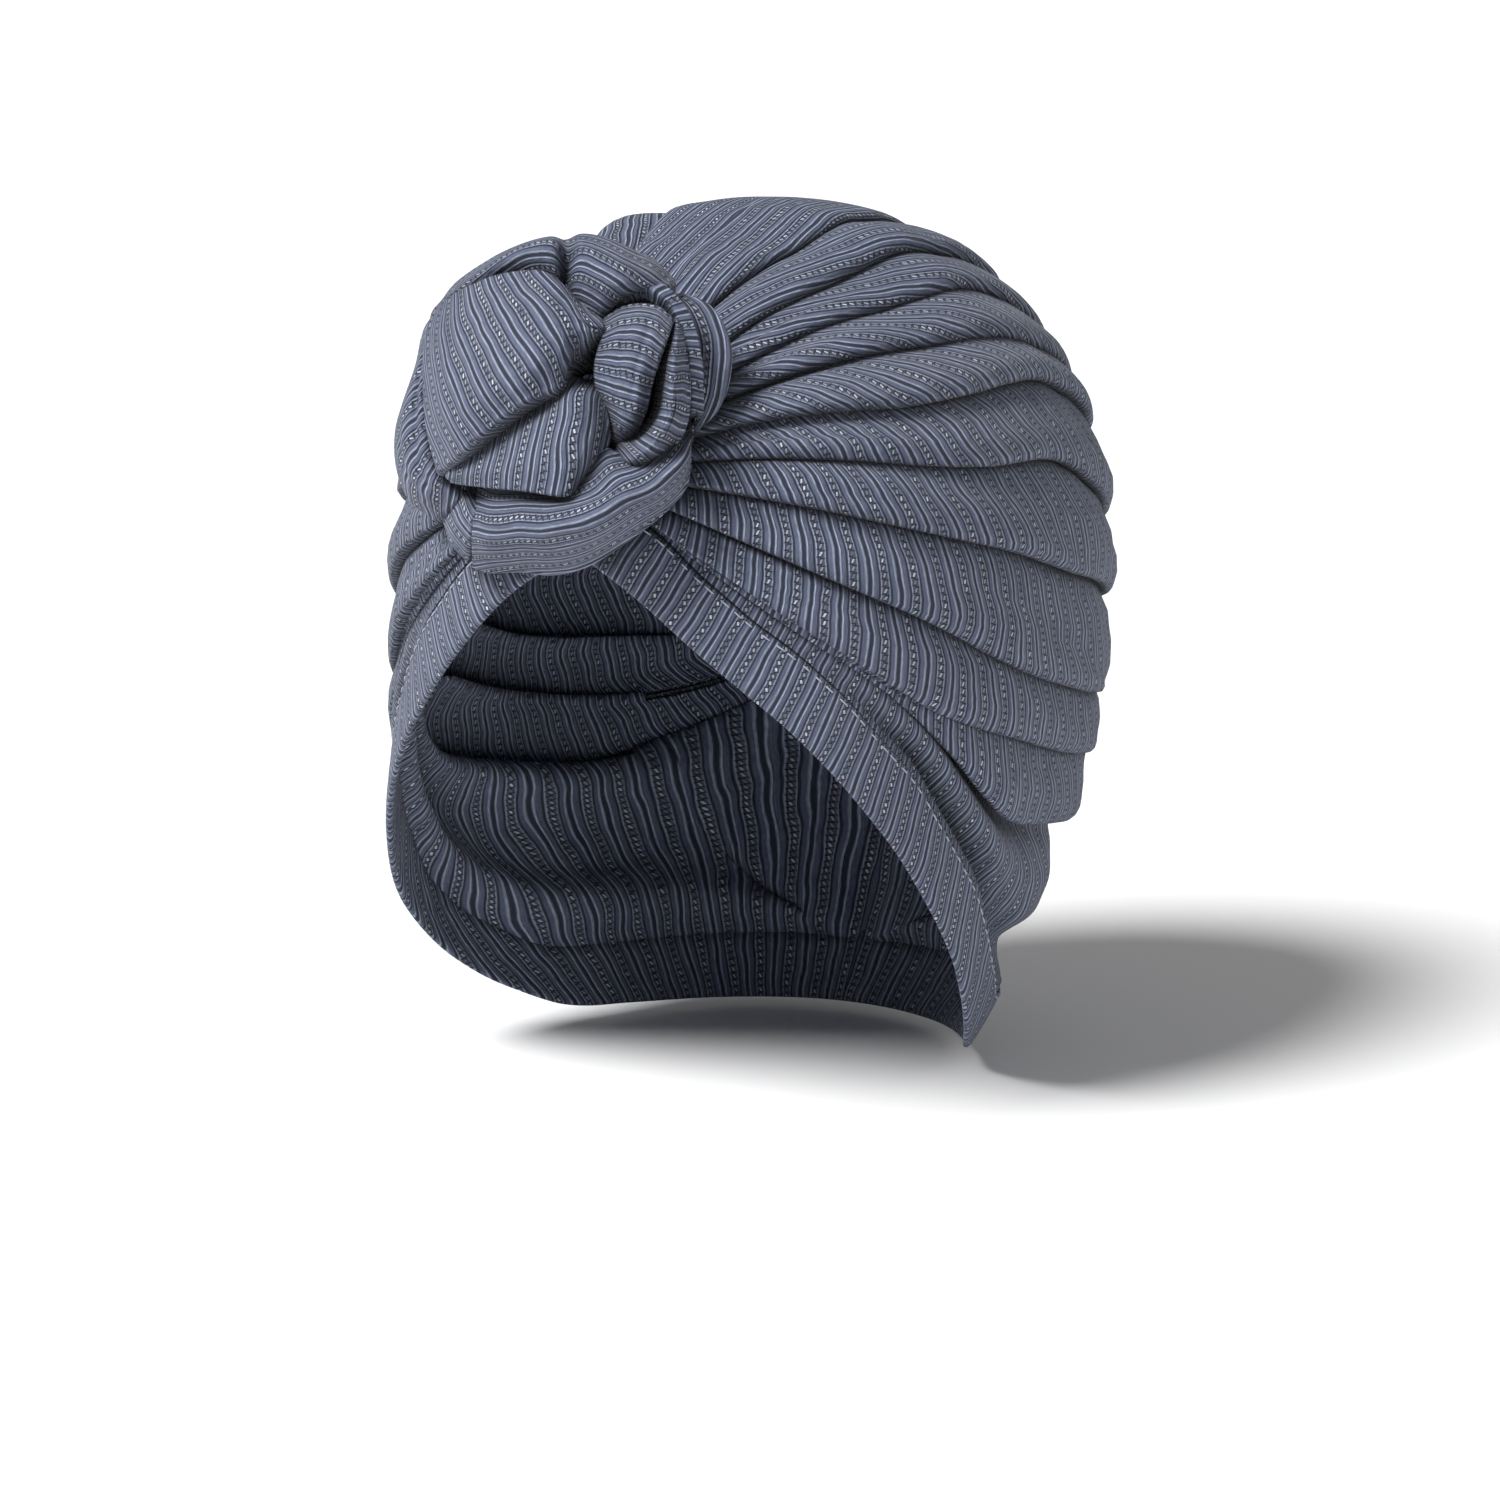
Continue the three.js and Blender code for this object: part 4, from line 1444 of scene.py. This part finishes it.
@dataclass(frozen=True)
class Fold:
    """One wound layer of the knot. Its sizes are in millimetres.

    Its rows run across the layer. Each point is given by its pixel across and down in the
    picture, and its height over the face of the knot. A strap, which is a layer with a half
    width, has one point in each row, on its middle line.
    """

    name: str
    node: str
    rows: TracedRows
    # Angle in degrees of the stripes from the way along the layer.
    weave: float = 90.0
    # Radius of the rolled edges, how far they then run down, the point that they tend to and
    # how strongly, and the least turn of an edge that already runs down.
    curl: float = 1.8
    drop: float = 9.0
    centre: Span = (-6.0, 14.0)
    inward: float = 0.022
    least_turn: float = 0.25
    curl_steps: int = 5
    drop_steps: int = 6
    # Values of each Crease.
    creases: Rows = ()
    # Points of the layer each way.
    fine: int = 64
    # A strap's half width, how far its sides lie lower, how much narrower its ends are as a
    # share, and how soon it widens from there.
    half_width: float = 0.0
    arch: float = 0.0
    taper: float = 0.0
    widening: float = 0.7

    def strap(self, line: np.ndarray) -> np.ndarray:
        """Rows of three points on both sides of a middle line.

        Args:
            line: The points of the line.

        Returns:
            One row for each of them.
        """
        ahead = unit(np.gradient(line[:, :2], axis=0))
        aside = np.stack((-ahead[:, 1], ahead[:, 0], 0 * ahead[:, 0]), axis=-1)
        swell = np.sin(np.linspace(0, math.pi, len(line))) ** self.widening
        reach = self.half_width * (1 - self.taper + self.taper * swell)
        sides = np.array((-1.0, 0.0, 1.0))
        rows = line[:, None] + aside[:, None] * (reach[:, None] * sides)[..., None]
        rows[..., 2] -= self.arch * sides**2
        return rows

    def grid(self, table: np.ndarray) -> tuple[np.ndarray, np.ndarray]:
        """The whole layer.

        Args:
            table: Its rows, across, up and out on the face of the knot in millimetres.

        Returns:
            Points in the same millimetres, and flat coordinates in metres.
        """
        if self.half_width:
            table = self.strap(table[:, 0])
        points = refined(table, np.linspace(0, table.shape[0] - 1, self.fine), 0)
        points = refined(points, np.linspace(0, table.shape[1] - 1, self.fine), 1)
        share = np.linspace(0, 1, self.fine)
        across, along = np.meshgrid(share, share)
        for row in self.creases:
            points[..., 2] -= Crease(*row).sunk(across, along)
        points = self.curled(points)
        points = self.curled(points.transpose(1, 0, 2)).transpose(1, 0, 2)
        middle = points.shape[0] // 2
        along = run_along(points[:, middle:middle + 1])
        around = run_along(points.transpose(1, 0, 2)).T
        around = around - around[:, middle:middle + 1]
        return points, turned_run(along, around, math.radians(self.weave)) * MM

    def curled(self, points: np.ndarray) -> np.ndarray:
        """The grid with its first and last columns rolled over and tucked in."""
        return np.concatenate((
            self.tucked(points, 0, 2)[:, ::-1], points, self.tucked(points, -1, -3),
        ), axis=1)

    def tucked(self, points: np.ndarray, last: int, before: int) -> np.ndarray:
        """Columns that carry on past one edge: round it, and then inwards.

        Args:
            points: The grid.
            last: The column at the edge.
            before: A column a little way from it, which gives the direction.

        Returns:
            The new columns, from the edge on.
        """
        edge = points[:, last]
        centre = np.array((*self.centre, 0.0))
        towards = np.array((self.inward, self.inward, 0.0))
        inwards = unit((centre - edge) * towards - np.array((0, 0, 1.0)))
        ahead = unit(edge - points[:, before])
        level = ahead - (ahead * inwards).sum(axis=-1, keepdims=True) * inwards
        steep = np.clip(np.linalg.norm(level, axis=-1, keepdims=True), self.least_turn, 1)
        ahead = unit(level) * steep
        columns = []
        for step in range(1, self.curl_steps + 1):
            turn = math.pi / 2 * step / self.curl_steps
            bend = math.sin(turn) * ahead + (1 - math.cos(turn)) * inwards
            columns.append(edge + self.curl * bend)
        rolled = columns[-1]
        for step in range(1, self.drop_steps + 1):
            columns.append(rolled + inwards * self.drop * step / self.drop_steps)
        return np.stack(columns, axis=1)


# Each row of a fold is a row of points across its layer.
KNOT_FOLDS = (
    Fold(
        "knot_top_wrap_cloth", "knot_top_wrap",
        (
            ((428, 325, 4), (432, 312, 9), (437, 305, 14), (444, 303, 15)),
            ((452, 286, 4), (456, 283, 12), (464, 284, 18), (472, 292, 18)),
            ((486, 262, 4), (490, 258, 14), (498, 262, 22), (505, 276, 20)),
            ((518, 247, 5), (521, 243, 16), (527, 248, 25), (533, 272, 22)),
            ((548, 239, 6), (550, 236, 18), (553, 243, 26), (556, 278, 22)),
            ((566, 240, 8), (567, 241, 17), (567, 254, 21), (566, 284, 19)),
            ((582, 234, 8), (583, 235, 18), (580, 252, 25), (573, 296, 22)),
            ((606, 238, 8), (607, 240, 18), (601, 262, 26), (590, 309, 22)),
            ((634, 250, 7), (633, 252, 17), (622, 274, 25), (602, 318, 20)),
            ((657, 262, 6), (655, 265, 15), (641, 282, 21), (616, 306, 17)),
            ((672, 278, 5), (670, 280, 11), (656, 288, 17), (634, 294, 14)),
        ),
        weave=0.0, drop=30.0,
        creases=(
            (0.2, 0.05, 0.35, 0.4, 1.2, 0.07),
            (0.75, 0.6, 0.6, 0.95, 1, 0.06),
            (0.4, 0.58, 0.35, 0.95, 0.8, 0.05),
        ),
    ),
    Fold(
        "knot_back_flap_cloth", "knot_right_wrap",
        (
            ((668, 296, 8),), ((680, 312, 8),), ((689, 331, 7),), ((693, 352, 6),),
            ((692, 376, 6),), ((687, 398, 5),), ((679, 420, 4),),
        ),
        weave=0.0, curl=1.2, drop=16.0, half_width=7.6, arch=4.5, taper=0.65,
    ),
    Fold(
        "knot_hood_cloth", "knot_right_wrap",
        (
            ((600, 330, 13),), ((604, 312, 17),), ((617, 293, 19),), ((636, 285, 19),),
            ((655, 291, 18),), ((671, 306, 16),), ((681, 325, 15),), ((687, 348, 14),),
            ((690, 378, 13),), ((690, 408, 10),),
        ),
        weave=90.0, curl=0.9, drop=5.0, half_width=2.2, arch=1.8,
    ),
    Fold(
        "knot_right_wrap_cloth", "knot_right_wrap",
        (
            ((670, 318, 11), (676, 318, 15), (682, 320, 12)),
            ((667, 336, 13), (676, 336, 19), (685, 336, 14)),
            ((660, 358, 13), (673, 360, 22), (687, 360, 14)),
            ((658, 384, 13), (671, 386, 23), (688, 388, 14)),
            ((653, 412, 13), (668, 416, 23), (685, 422, 13)),
            ((636, 433, 14), (653, 443, 22), (670, 452, 12)),
            ((618, 441, 15), (634, 459, 21), (646, 472, 12)),
            ((607, 446, 12), (618, 462, 17), (630, 478, 10)),
        ),
        weave=90.0, drop=24.0,
        creases=(
            (0.5, 0.4, 0.35, 0.85, 0.8, 0.07),
        ),
    ),
    Fold(
        "knot_bottom_wrap_cloth", "knot_bottom_wrap",
        (
            ((689, 432, 6), (692, 440, 8), (691, 446, 6)),
            ((664, 440, 12), (686, 456, 14), (690, 466, 5)),
            ((634, 456, 16), (668, 477, 18), (684, 488, 4)),
            ((620, 456, 18), (650, 490, 20), (667, 508, 4)),
            ((600, 448, 19), (626, 500, 23), (644, 527, 4)),
            ((584, 458, 19), (602, 516, 25), (616, 547, 5)),
            ((570, 474, 19), (576, 526, 25), (586, 565, 5)),
            ((547, 480, 19), (548, 530, 25), (553, 573, 5)),
            ((520, 480, 18), (519, 530, 23), (520, 570, 5)),
            ((496, 479, 15), (491, 530, 20), (490, 571, 4)),
            ((480, 482, 11), (474, 528, 15), (474, 566, 3)),
        ),
        weave=0.0, drop=11.0,
        creases=(
            (0.4, 0.35, 0.15, 0.7, 0.9, 0.05),
            (0.8, 0.2, 0.6, 0.5, 1, 0.06),
            (0.5, 0.98, 0.55, 0.75, 1, 0.05),
        ),
    ),
    Fold(
        "knot_gathers_cloth", "knot_bottom_wrap",
        (
            ((466, 488, 8), (458, 493, 10), (446, 512, 6), (444, 524, 3)),
            ((473, 488, 10), (465, 506, 14), (454, 530, 9), (450, 542, 3)),
            ((482, 490, 10), (473, 516, 15), (466, 546, 9), (464, 558, 3)),
        ),
        weave=0.0, curl=1.2, drop=12.0,
    ),
    Fold(
        "knot_left_wrap_cloth", "knot_left_wrap",
        (
            ((437, 305, 8), (430, 318, 8), (424, 328, 6), (421, 338, 2)),
            ((430, 345, 12), (424, 350, 12), (419, 356, 9), (415, 366, 2)),
            ((430, 385, 13), (420, 388, 14), (408, 392, 11), (402, 404, 2)),
            ((434, 420, 13), (421, 420, 15), (402, 424, 12), (395, 432, 2)),
            ((438, 450, 13), (425, 455, 15), (404, 460, 12), (396, 466, 2)),
            ((446, 474, 13), (436, 482, 15), (418, 490, 11), (408, 498, 2)),
            ((462, 488, 11), (454, 498, 12), (440, 510, 8), (432, 518, 2)),
        ),
        weave=60.0, drop=27.0,
        creases=(
            (0.4, 0.1, 0.5, 0.9, 0.8, 0.06),
            (0.75, 0.5, 0.7, 0.95, 0.7, 0.06),
        ),
    ),
    Fold(
        "knot_tongue_cloth", "knot_tongue",
        (
            ((608, 316, 20), (622, 308, 20), (640, 305, 20), (658, 308, 19), (670, 318, 18)),
            ((607, 328, 23), (622, 322, 24), (638, 320, 24), (654, 324, 23), (665, 333, 21)),
            ((601, 348, 24), (616, 345, 26), (632, 346, 26), (646, 351, 25), (656, 358, 23)),
            ((597, 368, 24), (610, 369, 26), (626, 372, 27), (640, 377, 26), (650, 382, 22)),
            ((599, 390, 23), (611, 394, 25), (625, 399, 25), (637, 404, 24), (645, 408, 20)),
            ((605, 412, 18), (613, 417, 21), (622, 423, 22), (630, 428, 20), (636, 432, 15)),
            ((609, 434, 14), (613, 438, 16), (618, 441, 16), (622, 443, 15), (626, 446, 12)),
        ),
        weave=90.0, curl=1.4,
        creases=(
            (0.35, 0.1, 0.3, 0.8, 0.7, 0.07),
            (0.7, 0, 0.6, 0.7, 0.6, 0.06),
        ),
    ),
    Fold(
        "knot_lower_fold_cloth", "knot_lower_fold",
        (
            ((500, 396, 14), (525, 389, 16), (552, 380, 20), (572, 378, 21), (588, 380, 18)),
            ((484, 416, 16), (512, 406, 19), (545, 398, 24), (576, 392, 26), (600, 392, 21)),
            ((468, 438, 19), (502, 428, 23), (540, 420, 27), (578, 412, 28), (605, 410, 21)),
            ((452, 464, 19), (492, 455, 24), (534, 448, 28), (578, 440, 28), (608, 436, 19)),
            ((446, 476, 18), (486, 472, 24), (530, 470, 28), (574, 467, 27), (600, 462, 18)),
            ((450, 481, 17), (486, 485, 22), (527, 489, 26), (566, 494, 25), (586, 482, 17)),
        ),
        weave=0.0, curl=1.0,
        creases=(
            (0.95, 0.3, 0.7, 0.75, 0.8, 0.05),
            (0.3, 0, 0.5, 0.3, 0.8, 0.08),
        ),
    ),
    Fold(
        "knot_front_fold_cloth", "knot_front_fold",
        (
            ((437, 305, 15), (425, 335, 16), (423, 375, 17), (426, 425, 18), (437, 470, 18)),
            ((450, 297, 20), (442, 332, 24), (440, 375, 27), (445, 418, 27), (457, 453, 25)),
            ((468, 287, 24), (464, 325, 29), (466, 365, 32), (470, 402, 32), (479, 431, 29)),
            ((492, 277, 26), (492, 312, 31), (496, 350, 34), (501, 383, 34), (507, 409, 31)),
            ((518, 272, 26), (521, 300, 31), (527, 334, 34), (532, 366, 35), (535, 392, 31)),
            ((543, 272, 26), (548, 293, 30), (553, 320, 33), (557, 350, 33), (559, 382, 29)),
            ((562, 284, 25), (567, 301, 28), (570, 320, 30), (572, 340, 29), (571, 360, 25)),
            ((580, 303, 23), (583, 313, 26), (586, 325, 28), (587, 338, 27), (586, 351, 23)),
            ((598, 316, 21), (600, 322, 24), (601, 329, 25), (600, 337, 23), (598, 345, 19)),
            ((612, 327, 18), (612, 330, 19), (611, 333, 19), (610, 336, 18), (608, 340, 16)),
        ),
        weave=70.0, curl=1.5,
        creases=(
            (0.95, 0.5, 0.3, 0.62, 1.2, 0.06),
            (0.6, 0.95, 0.45, 0.7, 1.5, 0.05),
            (0.98, 0.62, 0.7, 0.72, 1.2, 0.05),
            (0.12, 0.45, 0.3, 0.8, 0.8, 0.06),
        ),
    ),
)


@dataclass(frozen=True)
class Knot:
    """The rosette of wound folds over the peak of the rim."""

    form: InnerForm
    lines: PleatLines
    view: View
    folds: tuple[Fold, ...] = KNOT_FOLDS
    wall: float = 1.3 * MM

    def axes(self) -> np.ndarray:
        """Directions of the knot's face.

        Returns:
            Across, up and out, as rows.
        """
        out = self.form.normal(self.lines.start)
        side = np.array((1.0, 0, 0))
        up = np.cross(side, out)
        return np.stack((side, up if up[2] > 0 else -up, out))

    def traced(self, rows: TracedRows) -> np.ndarray:
        """Points that show at given pixels of the picture.

        Args:
            rows: Pixels across and down, and heights over the knot's face in millimetres.

        Returns:
            Places across, up and out on the knot's face, in millimetres.
        """
        table = np.array(rows, dtype=float)
        out = self.axes()[2]
        rays = self.view.rays(table[..., :2])
        offset = self.view.eye() - self.lines.start
        reach = (table[..., 2] * MM - offset @ out) / (rays @ out)
        return (offset + rays * reach[..., None]) @ self.axes().T / MM

    def place(self, points: np.ndarray) -> np.ndarray:
        """Points of the frame for points across, up and out on the knot's face, in mm."""
        return self.lines.start + points * MM @ self.axes() + self.form.drop

    def build(self) -> list[tuple[bpy.types.Object, Fold]]:
        """Makes all folds.

        Returns:
            Each sheet with its fold.
        """
        pieces = []
        for fold in self.folds:
            points, run = fold.grid(self.traced(fold.rows))
            piece = cloth_piece(fold.name, self.place(points), run)
            face_outward(piece)
            pieces.append((piece, fold))
        return pieces


@dataclass(frozen=True)
class Lamp:
    """A broad far light, placed right, up and towards the camera from the cap."""

    name: str
    place: tuple[float, float, float]
    breadth: float
    power: float


@dataclass(frozen=True)
class Studio:
    """Pale floor, soft lights and the camera at the picture's angle."""

    form: InnerForm
    view: View
    floor_height: float = -226.6 * MM
    floor_size: float = 60.0
    floor_colour: str = "F4F4F4"
    floor_roughness: float = 0.9
    sky_colour: str = "FFFFFF"
    sky_strength: float = 0.2
    sensor_width: float = 36.0
    lamps: tuple[Lamp, ...] = (
        Lamp("window", (-0.8, 1.0, 0.75), math.radians(24), 4.7),
        Lamp("side_window", (1.1, 0.5, 0.8), math.radians(60), 0.45),
    )

    def camera(self) -> None:
        """Sets up the camera."""
        back, _, _ = self.view.axes()
        data = bpy.data.cameras.new("camera")
        data.sensor_width = self.sensor_width
        data.lens = self.sensor_width * self.view.focal_pixels / self.view.picture
        data.dof.use_dof = False
        camera = bpy.data.objects.new("camera", data)
        bpy.context.collection.objects.link(camera)
        camera.location = self.form.drop + self.view.eye()
        camera.rotation_euler = Vector(back).to_track_quat("Z", "Y").to_euler()
        bpy.context.scene.camera = camera

    def light(self, lamp: Lamp) -> None:
        """Sets up one light.

        Args:
            lamp: The light.
        """
        back, right, up = self.view.axes()
        data = bpy.data.lights.new(lamp.name, "SUN")
        data.angle = lamp.breadth
        data.energy = lamp.power
        sun = bpy.data.objects.new(lamp.name, data)
        bpy.context.collection.objects.link(sun)
        offset = right * lamp.place[0] + up * lamp.place[1] + back * lamp.place[2]
        sun.location = self.form.drop + offset
        sun.rotation_euler = Vector(offset).to_track_quat("Z", "Y").to_euler()

    def floor(self) -> bpy.types.Object:
        """Makes the floor, a matt white board.

        Returns:
            The floor.
        """
        clear_selection()
        bpy.ops.mesh.primitive_plane_add(size=self.floor_size, location=(0, 0, self.floor_height))
        plane = bpy.context.active_object
        plane.name = "floor"
        material = bpy.data.materials.new("matt_white_board")
        material.use_nodes = True
        shader = material.node_tree.nodes["Principled BSDF"]
        shader.inputs["Base Color"].default_value = linear(self.floor_colour)
        shader.inputs["Roughness"].default_value = self.floor_roughness
        plane.data.materials.append(material)
        return plane

    def build(self) -> bpy.types.Object:
        """Sets up everything round the cap.

        Returns:
            The floor.
        """
        world = bpy.data.worlds.new("studio")
        world.use_nodes = True
        background = world.node_tree.nodes["Background"]
        background.inputs["Color"].default_value = linear(self.sky_colour)
        background.inputs["Strength"].default_value = self.sky_strength
        bpy.context.scene.world = world
        bpy.context.scene.view_settings.view_transform = "Standard"
        for lamp in self.lamps:
            self.light(lamp)
        self.camera()
        return self.floor()


class Held(Enum):
    """How a sheet of the cap is held."""

    GATHERED = "gathered"
    FOLDED = "folded"


@dataclass(frozen=True)
class Sheet:
    """One sheet of cloth, and what is logged of it."""

    piece: bpy.types.Object
    node: str
    wall: float
    held: Held
    trims: tuple[bpy.types.Object, ...] = ()
    # Cut length of a strip. The others' length follows from their flat coordinates.
    length: float | None = None

    def dress(self, material: bpy.types.Material) -> None:
        """Gives the sheet its wall and its cloth, and reports it.

        Args:
            material: The cloth.
        """
        piece = self.piece
        area = cloth_area(piece)
        flat = (area / self.length, self.length) if self.length else flat_size(piece, area)
        thicken(piece, self.wall)
        piece.data.materials.append(material)
        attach(piece, "root")
        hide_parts(self.node)
        LOG.info("%s: flat %.3f by %.3f m, area %.4f m2", piece.name, *flat, area)


def main() -> None:
    """Builds the cap, dresses it and sets up the picture."""
    logging.basicConfig(level=logging.INFO)
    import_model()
    form = InnerForm()
    rim = Rim(form)
    lines = PleatLines(form, rim)
    fullness = Fullness(form)
    stripes = RimStripes(rim)
    view = View()
    knit = RibKnit().build()
    crown = Crown(form, rim, lines, fullness, stripes)
    Sheet(crown.build(), "crown", crown.wall, Held.GATHERED).dress(knit)
    hem = Hem(form, rim, fullness, stripes)
    stitches = hem.stitches()
    stitches.data.materials.append(Thread().build())
    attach(stitches, "root")
    LOG.info("%s: %d faces", stitches.name, len(stitches.data.polygons))
    trims = (stitches,)
    Sheet(hem.build(), "hem_band", hem.wall, Held.FOLDED, trims, hem.length()).dress(knit)
    knot = Knot(form, lines, view)
    for piece, fold in knot.build():
        Sheet(piece, fold.node, knot.wall, Held.FOLDED).dress(knit)
    Studio(form, view).build()


if __name__ == "__main__":
    main()
